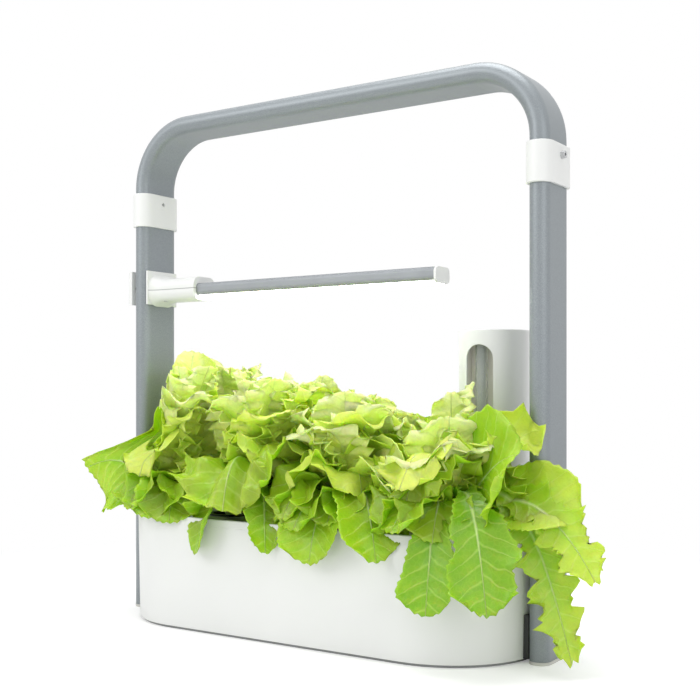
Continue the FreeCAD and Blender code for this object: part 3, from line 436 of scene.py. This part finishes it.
def arm_plastic():
    """White moulding of the light's arm, with a painted shade line where its two halves meet."""
    material = moulded("Arm_Plastic", white_colour, 0.40)
    tree = material.node_tree
    shader = next(node for node in tree.nodes if node.type == "BSDF_PRINCIPLED")
    body = shader.inputs["Base Color"].links[0].from_socket
    height = add(tree, "SeparateXYZ", {0: add(tree, "TexCoord").outputs["Object"]}).outputs["Z"]
    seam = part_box("arm_upper_shell")[0][2]
    off = calc(tree, "ABSOLUTE", calc(tree, "SUBTRACT", height, seam))
    # Painted shade: a dark line along the seam where the two shells meet
    line = ramp(tree, off, seam_half / 3, seam_half, 0.75, 0.0)
    tree.links.new(tint(tree, line, body, seam_shade_colour), shader.inputs["Base Color"])
    return material


def drawn_metal(name, colour, rough, metallic=1.0, edge_glint_and_wear=1.3, pitch=1600.0):
    """Bare or anodised metal with fine drawn lines."""
    material, tree, shader = finish(name, Metallic=metallic)
    lines = use(tree, drawn_lines, {"Pitch Scale": pitch})["Lines"]
    skin = use(tree, fine_skin, {"Grain Scale": 700.0, "Drift Scale": 30.0})
    rim = use(tree, soft_edge, {"Radius": 0.0003})
    body = tint(tree, lines, shade(colour, 0.85), shade(colour, 1.1))
    body = tint(tree, calc(tree, "MULTIPLY", skin["Drift"], 0.4), body, shade(colour, 0.8))
    # Lighter edges: a painted highlight, with light wear
    body = tint(tree, rim["Glint And Wear"], body, shade(colour, edge_glint_and_wear))
    tree.links.new(body, shader.inputs["Base Color"])
    tree.links.new(ramp(tree, lines, 0.3, 0.7, rough - 0.06, rough + 0.06), shader.inputs["Roughness"])
    tree.links.new(bump(tree, lines, 0.00002, rim["Normal"]), shader.inputs["Normal"])
    return material


def foam():
    """Dark open-cell sponge, with painted shade in its pores."""
    material, tree, shader = finish("Sponge_Foam", Roughness=0.95, Sheen_Weight=0.2)
    place = add(tree, "TexCoord").outputs["Object"]
    cells = add(tree, "TexVoronoi", {"Vector": place, "Scale": 900.0}, feature="DISTANCE_TO_EDGE")
    pores = ramp(tree, cells.outputs["Distance"], 0.02, 0.22)
    drift = use(tree, fine_skin, {"Grain Scale": 300.0, "Drift Scale": 60.0})
    # Painted shade: the pores are darker than the cell walls around them
    body = tint(tree, pores, (0.16, 0.115, 0.07, 1.0), (0.035, 0.024, 0.015, 1.0))
    body = tint(tree, calc(tree, "MULTIPLY", drift["Drift"], 0.5), body, (0.09, 0.10, 0.035, 1.0))
    tree.links.new(body, shader.inputs["Base Color"])
    tree.links.new(bump(tree, calc(tree, "SUBTRACT", 1.0, pores), 0.0005), shader.inputs["Normal"])
    return material


def clear_plastic():
    """Clear tube with faint haze."""
    material, tree, shader = finish("Clear_Tube", Transmission_Weight=0.92, IOR=1.49, Metallic=0.0)
    skin = use(tree, fine_skin, {"Grain Scale": 200.0, "Drift Scale": 20.0})
    tree.links.new(tint(tree, skin["Drift"], (0.86, 0.90, 0.89, 1.0), (0.93, 0.96, 0.95, 1.0)),
                   shader.inputs["Base Color"])
    tree.links.new(ramp(tree, skin["Drift"], 0.0, 1.0, 0.04, 0.10), shader.inputs["Roughness"])
    tree.links.new(bump(tree, skin["Height"], 0.00001), shader.inputs["Normal"])
    return material


def board():
    """White solder mask over copper runs."""
    material, tree, shader = finish("Board_Laminate", Coat_Weight=0.3, Coat_Roughness=0.15)
    place = add(tree, "TexCoord").outputs["Object"]
    runs = add(tree, "TexBrick", {"Vector": place, "Scale": 110.0, "Mortar Size": 0.06, "Brick Width": 1.4,
                                  "Row Height": 0.45}).outputs["Fac"]
    skin = use(tree, fine_skin, {"Grain Scale": 900.0, "Drift Scale": 30.0})
    body = tint(tree, runs, (0.84, 0.84, 0.80, 1.0), (0.60, 0.66, 0.56, 1.0))
    body = tint(tree, calc(tree, "MULTIPLY", skin["Drift"], 0.2), body, (0.75, 0.75, 0.70, 1.0))
    tree.links.new(body, shader.inputs["Base Color"])
    tree.links.new(ramp(tree, skin["Drift"], 0.0, 1.0, 0.30, 0.42), shader.inputs["Roughness"])
    tree.links.new(bump(tree, runs, 0.00003), shader.inputs["Normal"])
    return material


def lens():
    """Opal lens that glows faintly and a little unevenly."""
    material, tree, shader = finish("Opal_Lens", Emission_Strength=9.0, Subsurface_Weight=0.3,
                                    Subsurface_Scale=0.002)
    skin = use(tree, fine_skin, {"Grain Scale": 1500.0, "Drift Scale": 12.0})
    body = tint(tree, skin["Drift"], (0.88, 0.88, 0.86, 1.0), (0.92, 0.92, 0.90, 1.0))
    tree.links.new(body, shader.inputs["Base Color"])
    tree.links.new(tint(tree, skin["Drift"], (0.90, 0.93, 0.95, 1.0), (1.0, 1.0, 0.98, 1.0)),
                   shader.inputs["Emission Color"])
    tree.links.new(ramp(tree, skin["Height"], 0.3, 0.7, 0.32, 0.42), shader.inputs["Roughness"])
    tree.links.new(bump(tree, skin["Height"], 0.00002), shader.inputs["Normal"])
    return material


def lettuce_leaf():
    """Fresh lettuce: pale rib and veins, blistered skin, a tone that differs from leaf to leaf, painted shade
    and highlight.
    """
    material, tree, shader = finish(
        "Lettuce_Leaf", Subsurface_Weight=0.5, Subsurface_Radius=(0.5, 1.0, 0.06), Subsurface_Scale=0.005,
        Specular_IOR_Level=0.48)
    veins = use(tree, leaf_veins, {"Pitch": 0.0135, "Side Width": 0.0019, "Net Scale": 210.0})
    place = add(tree, "TexCoord").outputs["Object"]
    cloud = add(tree, "TexNoise", {"Vector": place, "Scale": 38.0, "Detail": 4.0,
                                   "Roughness": 0.6}).outputs["Fac"]
    speck = add(tree, "TexNoise", {"Vector": place, "Scale": 420.0, "Detail": 3.0}).outputs["Fac"]
    body = tint(tree, ramp(tree, veins["Tone And Light"], 0.0, 0.5), leaf_dark, leaf_green)
    body = tint(tree, ramp(tree, veins["Tone And Light"], 0.45, 0.8), body, leaf_yellow)
    # The palest tones: pale heart leaves, paled further as a painted highlight
    body = tint(tree, ramp(tree, veins["Tone And Light"], 0.78, 1.0), body, leaf_pale_and_highlight)
    shaded = tint(tree, 0.5, body, leaf_shade)
    # Painted shade: cloudy patches darken toward the shade green, less on the paler leaves
    painted_shade_share = calc(tree, "MULTIPLY", ramp(tree, cloud, 0.62, 0.34, 0.0, 0.4),
                  ramp(tree, veins["Tone And Light"], 0.5, 0.95, 1.0, 0.35))
    body = tint(tree, painted_shade_share, body, shaded)
    body = tint(tree, calc(tree, "MULTIPLY", ramp(tree, speck, 0.35, 0.7), 0.08), body, leaf_speck)
    body = tint(tree, calc(tree, "MULTIPLY", veins["Net"], 0.06), body, leaf_net)
    body = tint(tree, calc(tree, "MULTIPLY", veins["Margin"], 0.20), body, leaf_margin)
    body = tint(tree, calc(tree, "MULTIPLY", veins["Veins"], 0.32), body, leaf_vein)
    body = tint(tree, calc(tree, "MULTIPLY", veins["Rib"], 0.80), body, leaf_rib)
    tree.links.new(body, shader.inputs["Base Color"])
    tree.links.new(ramp(tree, cloud, 0.3, 0.7, 0.34, 0.50), shader.inputs["Roughness"])
    blisters = add(tree, "TexVoronoi", {"Vector": place, "Scale": 120.0}, feature="SMOOTH_F1")
    height = calc(tree, "MULTIPLY", blisters.outputs["Distance"], -0.55)
    height = calc(tree, "ADD", height, calc(tree, "MULTIPLY", veins["Veins"], 0.15))
    height = calc(tree, "ADD", height, calc(tree, "MULTIPLY", veins["Rib"], 0.5))
    height = calc(tree, "SUBTRACT", height, calc(tree, "MULTIPLY", veins["Net"], 0.05))
    height = calc(tree, "ADD", height, calc(tree, "MULTIPLY", cloud, 0.5))
    tree.links.new(bump(tree, height, 0.0016), shader.inputs["Normal"])
    return material


def finishes():
    """The finish of each material slot of the record, and the arm's own."""
    return {
        "frame_paint": frame_paint(),
        "white_plastic": moulded("White_Plastic", white_colour, 0.40),
        "arm_plastic": arm_plastic(),
        "black_plastic": moulded("Black_Plastic", (0.030, 0.031, 0.033), 0.48, 800.0, 0.00005, 0.06,
                                 edge_glint_and_wear=2.2),
        "grey_plastic": moulded("Grey_Plastic", (0.34, 0.35, 0.35), 0.50, 900.0, 0.00004),
        "pale_pad": moulded("Pale_Pad", (0.66, 0.65, 0.62), 0.60, 700.0, 0.00006),
        "liner_plastic": moulded("Liner_Plastic", (0.88, 0.85, 0.80), 0.55, 900.0, 0.00004),
        "float_plastic": moulded("Float_Plastic", (0.80, 0.20, 0.035), 0.28, 1300.0, 0.00001, 0.0),
        "lead_rubber": moulded("Lead_Rubber", (0.022, 0.022, 0.023), 0.72, 500.0, 0.00008, 0.05, edge_glint_and_wear=2.0),
        "led_yellow": moulded("Led_Phosphor", (0.86, 0.66, 0.10), 0.35, 2500.0, 0.00001, 0.0, 0.0002),
        "zinc_steel": drawn_metal("Zinc_Steel", (0.60, 0.61, 0.62), 0.30),
        "spring_steel": drawn_metal("Spring_Steel", (0.42, 0.42, 0.44), 0.34),
        "light_aluminium": drawn_metal("Light_Aluminium", (0.36, 0.38, 0.40), 0.60, 0.45, 1.15, 1100.0),
        "board_laminate": board(),
        "lens_plastic": lens(),
        "clear_tube": clear_plastic(),
        "sponge_foam": foam(),
        "lettuce_leaf": lettuce_leaf(),
    }


def dress_nodes(made):
    """Give every carried-over node the finish of its slot, and the arm its painted seam shade."""
    for row in frame["record"]["subparts"]:
        node = frame["nodes"][row["node"]]
        if not node.data.materials:
            node.data.materials.append(None)
        for place in node.material_slots:
            place.material = made[row["material_slot"]]
    for name in ("arm_upper_shell", "arm_lower_shell"):
        for place in frame["nodes"][name].material_slots:
            place.material = made["arm_plastic"]


# Meshes
def piece(name, points, faces, material, attributes=None):
    mesh = bpy.data.meshes.new(name)
    mesh.from_pydata([tuple(p) for p in points], [], faces)
    mesh.materials.append(material)
    mesh.shade_smooth()
    for label, values in (attributes or {}).items():
        held = mesh.attributes.new(label, "FLOAT_VECTOR", "POINT")
        held.data.foreach_set("vector", np.asarray(values, np.float32).ravel())
    made = bpy.data.objects.new(name, mesh)
    bpy.context.scene.collection.objects.link(made)
    return made


def lathe_faces(rings, around):
    """Quads between rings of points, where the first and last points are the ends' middles."""
    faces = [(0, 1 + (k + 1) % around, 1 + k) for k in range(around)]
    for r in range(rings - 1):
        low, high = 1 + r * around, 1 + (r + 1) * around
        faces += [(low + k, low + (k + 1) % around, high + (k + 1) % around, high + k) for k in range(around)]
    last = 1 + rings * around
    low = last - around
    faces += [(low + k, low + (k + 1) % around, last) for k in range(around)]
    return faces


def sponge(rng, x, y):
    """One grow sponge: a soft cylinder with an uneven skin and a slit across its top."""
    around = 40
    heights = np.linspace(sponge_low, sponge_top, 15)
    rings = [(sponge_radius * 0.55, sponge_low), (sponge_radius * 0.93, sponge_low)]
    rings += [(sponge_radius, z) for z in heights[1:-1]]
    rings += [(sponge_radius * f, sponge_top) for f in (0.94, 0.8, 0.6, 0.4, 0.2)]
    points = [(x, y, sponge_low)]
    for radius, z in rings:
        for k in range(around):
            angle = 2 * math.pi * k / around
            r = radius - rng.uniform(0.0, 0.0005)
            px, py = r * math.cos(angle), r * math.sin(angle)
            sunk = slit_depth * math.exp(-(py / 0.0014) ** 2) if z == sponge_top else 0.0
            points.append((x + px, y + py, z - sunk - rng.uniform(0.0, 0.0004)))
    points.append((x, y, sponge_top - slit_depth))
    return points, lathe_faces(len(rings), around)


def sponges(material):
    rng = np.random.default_rng(3)
    points, faces = [], []
    for x, y, _ in plants.values():
        p, f = sponge(rng, x, y)
        faces += [tuple(i + len(points) for i in face) for face in f]
        points += p
    made = piece("Grow_Sponges", points, faces, material)
    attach(made, "deck")
    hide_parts("grow_sponges")


# Leaves
tooth_pitch = 0.0078
tooth_depth = 0.0027
end_frill_pitch = 0.045
fold_pitch = 0.034
blister_pitch = 0.0135
blister_depth = 0.0007
root_height = sponge_top + 0.012
root_reach = 0.004
leaf_half = 0.00022
rib_depth = 0.0040
rib_half = 0.0034


def outline(u, opens, widest, neck):
    """Half width of a leaf as a share of the widest: a narrow neck that opens into a round blade."""
    opened = np.clip((u - opens) / (widest - opens), 0, 1)
    rise = neck + (1 - neck) * np.sin(0.5 * math.pi * opened) ** 1.15
    past = np.clip((u - widest) / (1.025 - widest), 0, 1)
    fall = (1 - past ** 2.5) ** 0.47
    return np.where(u < widest, rise, fall)


def stadium_distance(p, half_x, half_y, x=0.0):
    """Distance of points from an upright stadium form in plan, less than nothing inside."""
    u, v, long_half, short_half = p[:, 0] - x, p[:, 1], half_x, half_y
    if half_y > half_x:
        u, v, long_half, short_half = v, u, half_y, half_x
    past = np.maximum(np.abs(u) - (long_half - short_half), 0.0)
    return np.hypot(past, v) - short_half


def off_post(p, side, front):
    """Move what would be in a post to its front or its back."""
    near = stadium_distance(p, post_half, post_depth, side * post_x) < leaf_gap
    near &= p[:, 2] < frame_top
    across = np.clip(np.abs(p[near, 0] - side * post_x), 0.0, post_half + leaf_gap)
    bow = np.sqrt((post_half + leaf_gap) ** 2 - across ** 2)
    edge = post_depth - post_half + bow + leaf_gap
    p[near, 1] = -edge if front else edge


def off_tower(p, x, y):
    """Keep leaves on their plant's side of the tower."""
    limit = tower_radius + leaf_gap
    away = p[:, :2] - tower_place
    near = (np.hypot(away[:, 0], away[:, 1]) < limit) & (p[:, 2] < tower_top + leaf_gap)
    own_side = np.array((x, y)) - tower_place
    own_side /= np.linalg.norm(own_side)
    away = away[near]
    away += own_side * np.maximum(0.5 * limit - away @ own_side, 0.0)[:, None]
    away *= limit / np.linalg.norm(away, axis=1, keepdims=True)
    p[near, :2] = away + tower_place


def off_planter(p):
    """Lift leaves on to the rim, or move them out before the wall."""
    lean = planter_draft * (1 - np.clip(p[:, 2] / planter_height, 0, 1))
    out = stadium_distance(p, planter_half, planter_radius) + lean
    top = planter_height + leaf_gap
    rim = (out > -rim_width) & (out < leaf_gap) & (p[:, 2] < top)
    up = top - p[:, 2]
    over = leaf_gap - out
    lifted = rim & (up <= over)
    moved = rim & ~lifted
    p[lifted, 2] = top
    long_half = planter_half - planter_radius
    middle = np.clip(p[:, 0], -long_half, long_half)
    dx, dy = p[:, 0] - middle, p[:, 1]
    far = np.maximum(np.hypot(dx, dy), 1e-6)
    grow = (far + over) / far
    p[moved, 0] = (middle + dx * grow)[moved]
    p[moved, 1] = (dy * grow)[moved]
    inside = (out <= -rim_width) & (p[:, 2] < deck_top + leaf_gap)
    inside &= stadium_distance(p, planter_half, planter_radius) < -rim_width
    p[inside, 2] = np.maximum(p[inside, 2], deck_top - deck_give)


def rib_line(start, knee, tip, along):
    """Points and headings at shares of a bowed rib's length, carried on straight past its tip."""
    t = np.linspace(0, 1, 61)[:, None]
    line = start * (1 - t) ** 2 + knee * (2 * t * (1 - t)) + tip * t ** 2
    far = np.concatenate([[0.0], np.cumsum(np.linalg.norm(np.diff(line, axis=0), axis=1))])
    length = far[-1]
    s = np.interp(along * length, far, t[:, 0])[..., None]
    place = start * (1 - s) ** 2 + knee * (2 * s * (1 - s)) + tip * s ** 2
    ahead = (knee - start) * (1 - s) + (tip - knee) * s
    ahead = ahead / np.maximum(np.linalg.norm(ahead, axis=-1, keepdims=True), 1e-9)
    place = place + ahead * (np.maximum(along - 1.0, 0.0) * length)[..., None]
    return place, ahead, length


def leaf_grid(rng, x, y, turn, reach, rise, tip_z, width, lean, frill, lobe, lobes, step=0.0032, curl=0.0,
              cup=0.30, pitch=0.040, opens=0.05, widest=0.70, neck=0.12, teeth=1.0, folds=0.0):
    """Middle surface of one leaf as a grid of points, with its flat place and share."""
    angle = math.radians(turn)
    out = np.array((math.cos(angle), math.sin(angle), 0.0))
    level = np.array((-out[1], out[0], 0.0))
    start = np.array((x, y, root_height)) + out * root_reach
    knee = start + out * (0.5 * reach)
    knee[2] = 2 * rise - 0.5 * (start[2] + tip_z)
    tip = np.array((x, y, tip_z)) + out * reach
    length = rib_line(start, knee, tip, np.array(1.0))[2]
    rows = int(np.clip(length / step, 18, 60))
    columns = int(np.clip(width / (step * 1.25), 13, 33)) | 1
    u = np.linspace(0, 1, rows)[:, None] * np.ones((1, columns))
    s = np.linspace(-1, 1, columns)[None, :] * np.ones((rows, 1))
    v = 0.55 * s + 0.45 * np.sin(0.5 * math.pi * s)
    side = np.abs(v)
    turnings = rng.uniform(0, 2 * math.pi, (2, 6))
    which = (v > 0).astype(int)
    phase = [turnings[which, k] for k in range(6)]
    wobble = 0.6 * np.cos(2 * math.pi * lobes * u + phase[0])
    wobble += 0.3 * np.sin(4.6 * math.pi * lobes * u + phase[1])
    half = 0.5 * width * outline(u, opens, widest, neck) * (1 + lobe * (wobble - 0.4) * side ** 2)
    rim = np.where(side > 0.999, 1.0, 0.0) + 0.4 * (np.abs(s) > 1 - 2.5 / (columns - 1)) * (side < 0.999)
    saw = np.abs(((u * length / tooth_pitch + phase[1]) % 1.0) * 2 - 1) - 0.35
    across = v * half + np.sign(v) * teeth * tooth_depth * saw * rim * np.clip(u * 3 - 0.5, 0, 1)
    along = u - 0.05 * u ** 3 * side ** 2
    saw = np.abs(((across[-1] / tooth_pitch + turnings[0, 2]) % 1.0) * 2 - 1) - 0.4
    along[-1] += saw * teeth * tooth_depth / length
    fringe = side ** 2.2 * np.clip(u / 0.3, 0, 1)
    run = 2 * math.pi * u * length / pitch + phase[2] + 0.8 * np.sin(2 * math.pi * 1.3 * u + phase[3])
    wave = frill * fringe * (np.sin(run) + 0.35 * side ** 3 * np.sin(2.1 * run + phase[4]))
    end = np.clip((u - 0.55) / 0.45, 0, 1) ** 2 * (1 - side ** 4)
    wave += 0.8 * frill * end * np.sin(2 * math.pi * across / end_frill_pitch + turnings[0, 5])
    fold = np.sin(2 * math.pi * across / fold_pitch + 3.0 * u)
    wave += folds * np.clip(u / 0.6, 0, 1) * (1 - 0.5 * side ** 4) * fold
    swell = np.sin(2 * math.pi * (u * length - 0.6 * np.abs(across)) / blister_pitch + phase[5])
    wave += blister_depth * swell * np.sin(math.pi * side) * np.clip(u * 5, 0, 1)
    wave += 0.05 * width * np.sin(2 * math.pi * 0.9 * u + turnings[0, 0]) * v * np.clip(2 * u, 0, 1)
    shift = 0.4 * frill * fringe * np.cos(run) / length
    place, ahead, length = rib_line(start, knee, tip, along + shift)
    hang = np.clip((along - 0.5) / 0.5, 0, 1.2)[..., None] ** 2
    place = place + (out * 0.75 - np.array((0, 0, 0.66))) * hang * curl
    tilt = np.radians(lean) * np.clip(2.2 * along, 0, 1)[..., None]
    above = np.cross(ahead, level)
    beside = level * np.cos(tilt) + above * np.sin(tilt)
    lift = np.cross(ahead, beside)
    bend = cup * side
    grid = place + beside * (across * np.cos(bend))[..., None]
    grid = grid + lift * (np.abs(across) * np.sin(bend) + wave)[..., None]
    return grid, u, v, along * length, across


def off_left_post(p, x, y):
    """Draw the high leaves of the end plants in, so that they stay beside the left post."""
    if x > left_end:
        return
    over = left_post_way[0] * (p[:, 0] - x) + left_post_way[1] * (p[:, 1] - y)
    over = np.maximum(over - left_post_room["front" if y < 0 else "rear"], 0.0)
    high = np.clip((p[:, 2] - left_post_from) / left_post_rise, 0, 1)
    drawn = left_post_share * over * high
    p[:, 0] -= drawn * left_post_way[0]
    p[:, 1] -= drawn * left_post_way[1]


def off_wall(p):
    """Ease the rear leaves in, so that the garden can stand near a wall."""
    over = np.maximum(p[:, 1] - wall_start, 0.0)
    p[:, 1] += wall_room * (1 - np.exp(-over / wall_room)) - over


def leaf(rng, store, x, y, front, tone, *shape, **more):
    """Add one leaf of real thickness to a plant's store of points and faces."""
    grid, u, v, along, across = leaf_grid(rng, x, y, *shape, **more)
    rows, columns = u.shape
    flat = grid.reshape(-1, 3)
    off_left_post(flat, x, y)
    off_wall(flat)
    for post_side in (-1, 1):
        off_post(flat, post_side, front)
    off_tower(flat, x, y)
    off_planter(flat)
    grid = flat.reshape(rows, columns, 3)
    normal = np.cross(np.gradient(grid, axis=0), np.gradient(grid, axis=1))
    normal /= np.maximum(np.linalg.norm(normal, axis=-1, keepdims=True), 1e-9)
    rib = (1 - u) ** 1.3 * np.exp(-(across / rib_half) ** 2)
    upper = grid + normal * leaf_half
    lower = grid - normal * (leaf_half + rib_depth * rib)[..., None]
    first = len(store["points"])
    count = rows * columns
    store["points"] += upper.reshape(-1, 3).tolist() + lower.reshape(-1, 3).tolist()
    index = np.arange(count).reshape(rows, columns) + first
    a, b, c, d = index[:-1, :-1], index[1:, :-1], index[1:, 1:], index[:-1, 1:]
    top = np.stack([a, b, c, d], -1).reshape(-1, 4)
    store["faces"] += top.tolist() + (top[:, ::-1] + count).tolist()
    ring = np.concatenate([index[:-1, 0], index[-1, :-1], index[:0:-1, -1], index[0, :0:-1]])
    after = np.roll(ring, -1)
    store["faces"] += np.stack([ring, ring + count, after + count, after], -1).tolist()
    # The tone rises from the leaf's base to its tip: painted shade deep in the bush and painted light on the
    # outer tips
    share = np.stack([u, v, tone * (0.62 + 0.38 * u)], -1).reshape(-1, 3)
    place = np.stack([along, across, np.full_like(u, rng.uniform(0, 9))], -1).reshape(-1, 3)
    store["leaf_share"] += share.tolist() * 2
    store["leaf_flat"] += place.tolist() * 2


def stem(rng, store, x, y):
    """Short pale stem between the sponge and the leaves."""
    around = 18
    rings = [(0.0052, sponge_top - 0.002), (0.0062, sponge_top + 0.004), (0.0075, sponge_top + 0.010),
             (0.0070, sponge_top + 0.016), (0.0040, sponge_top + 0.020)]
    points = [(x, y, sponge_top - 0.002)]
    for radius, z in rings:
        for k in range(around):
            angle = 2 * math.pi * k / around
            r = radius * (1 + 0.10 * math.cos(6 * angle + z * 300))
            points.append((x + r * math.cos(angle), y + r * math.sin(angle), z))
    points.append((x, y, sponge_top + 0.021))
    first = len(store["points"])
    store["points"] += [list(p) for p in points]
    store["faces"] += [[i + first for i in face] for face in lathe_faces(len(rings), around)]
    store["leaf_share"] += [[0.0, 0.0, 0.8]] * len(points)
    store["leaf_flat"] += [[0.0, 0.0, 0.0]] * len(points)


def crowded(rng, kind, top):
    """Reach, height of the arch, height of the tip, width and tone of one crowded leaf."""
    reach = rng.uniform(*kind["reach"])
    tip_z = rng.uniform(*kind["height"]) if kind is outer else top - rng.uniform(*kind["drop"])
    width = rng.uniform(*kind["width"])
    if kind is crown:
        rise = 0.5 * (tip_z + sponge_top) + kind["bow"]
    elif kind is middle:
        rise = 0.35 * sponge_top + 0.65 * tip_z + kind["bow"]
    else:
        rise = tip_z + rng.uniform(*kind["bow"])
    return reach, rise, tip_z, width, rng.uniform(*kind["tone"])


def crosses(turn, taken):
    """Whether a low leaf would come up against a broad single one."""
    return any(abs((turn - other + 180) % 360 - 180) < broad_turn for other in taken)


def bush(rng, store, x, y, top, front, taken):
    """The crowded leaves of one plant, from its upright middle to the low ones that lie on the rim.

    Low leaves stay out of the directions that broad single leaves have taken.
    """
    turn = rng.uniform(0, 360)
    for kind in crowd:
        turn += crowd_turn + rng.uniform(-12, 12)
        inward = 1 - 0.42 * max(0.0, -math.cos(math.radians(turn))) * (x < left_end)
        reach, rise, tip_z, width, tone = crowded(rng, kind, top)
        if kind is outer and crosses(turn, taken):
            continue
        leaf(rng, store, x, y, front, tone, turn, reach * inward, rise, tip_z, width, rng.uniform(-20, 20),
             0.0065, 0.10, 2.5, curl=kind["curl"], cup=rng.uniform(0.1, 0.4), **crowd_mesh)
    for way in skirt_turns:
        turn = (-1 if front else 1) * (way + rng.uniform(-8, 8))
        tip_z = rng.uniform(*skirt["height"])
        if crosses(turn, taken):
            continue
        leaf(rng, store, x, y, front, rng.uniform(*skirt["tone"]), turn, rng.uniform(*skirt["reach"]),
             skirt["arch"], tip_z, rng.uniform(*skirt["width"]), rng.uniform(-8, 8), 0.005, 0.06, 2.5,
             **skirt_mesh)


def lettuce(name, seed, material):
    x, y, top = plants[name]
    front = name.startswith("front")
    rng = np.random.default_rng(seed)
    store = {"points": [], "faces": [], "leaf_share": [], "leaf_flat": []}
    stem(rng, store, x, y)
    rows = large_leaves[name]
    bush(rng, store, x, y, top, front, [values[0] for values in rows if values[4] > broad_width])
    for values in rows:
        leaf(rng, store, x, y, front, values[9], *values[:9], **dict(*values[10:]))
    attributes = {label: store[label] for label in ("leaf_share", "leaf_flat")}
    made = piece("Leaves_" + name, store["points"], store["faces"], material, attributes)
    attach(made, "deck")
    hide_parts("lettuce_" + name)


# Floor and sky
def studio():
    """Pale floor that keeps the garden's shadow and goes to white away from it."""
    world = bpy.data.worlds.new("Studio_World")
    bpy.context.scene.world = world
    world.use_nodes = True
    tree = world.node_tree
    tree.nodes.clear()
    ray = add(tree, "LightPath").outputs
    seen = calc(tree, "MAXIMUM", ray["Is Camera Ray"], ray["Is Transmission Ray"])
    seen = calc(tree, "MAXIMUM", seen, calc(tree, "MULTIPLY", ray["Is Glossy Ray"], sky_in_gloss))
    strength = ramp(tree, seen, 0.0, 1.0, sky_light, 1.0)
    sky = add(tree, "Background", {"Color": (1.0, 1.0, 1.0, 1.0), "Strength": strength})
    add(tree, "OutputWorld", {"Surface": sky.outputs[0]})

    material = bpy.data.materials.new("Studio_Floor")
    material.use_nodes = True
    tree = material.node_tree
    tree.nodes.clear()
    ray = add(tree, "LightPath").outputs
    place = add(tree, "TexCoord").outputs["Object"]
    far = add(tree, "VectorMath", {0: place}, operation="LENGTH").outputs["Value"]
    paper = add(tree, "TexNoise", {"Vector": place, "Scale": 300.0, "Detail": 3.0}).outputs["Fac"]
    colour = tint(tree, paper, (0.90, 0.90, 0.90, 1.0), (0.92, 0.92, 0.92, 1.0))
    matt = add(tree, "BsdfDiffuse", {"Color": colour})
    lift = add(tree, "Emission", {"Color": (1.0, 1.0, 1.0, 1.0),
                                  "Strength": calc(tree, "MULTIPLY", ray["Is Camera Ray"], floor_lift)})
    near = add(tree, "AddShader", {0: matt.outputs[0], 1: lift.outputs[0]})
    white = add(tree, "Emission", {"Color": (1.0, 1.0, 1.0, 1.0), "Strength": 1.0})
    away = calc(tree, "MULTIPLY", ramp(tree, far, floor_white_from, floor_white_to), ray["Is Camera Ray"])
    both = add(tree, "MixShader", {0: away, 1: near.outputs[0], 2: white.outputs[0]})
    add(tree, "OutputMaterial", {"Surface": both.outputs[0]})
    points = [(x * floor_half, y * floor_half, 0) for x, y in ((-1, -1), (1, -1), (1, 1), (-1, 1))]
    floor = piece("Studio_Floor", points, [(0, 1, 2, 3)], material)


photo_camera()
bpy.context.scene.view_settings.view_transform = "Standard"
studio()
for name, lamp in lamps.items():
    softbox(name, *lamp)
made = finishes()
dress_nodes(made)
sponges(made["sponge_foam"])
for seed, name in enumerate(plants):
    lettuce(name, 20 + seed, made["lettuce_leaf"])
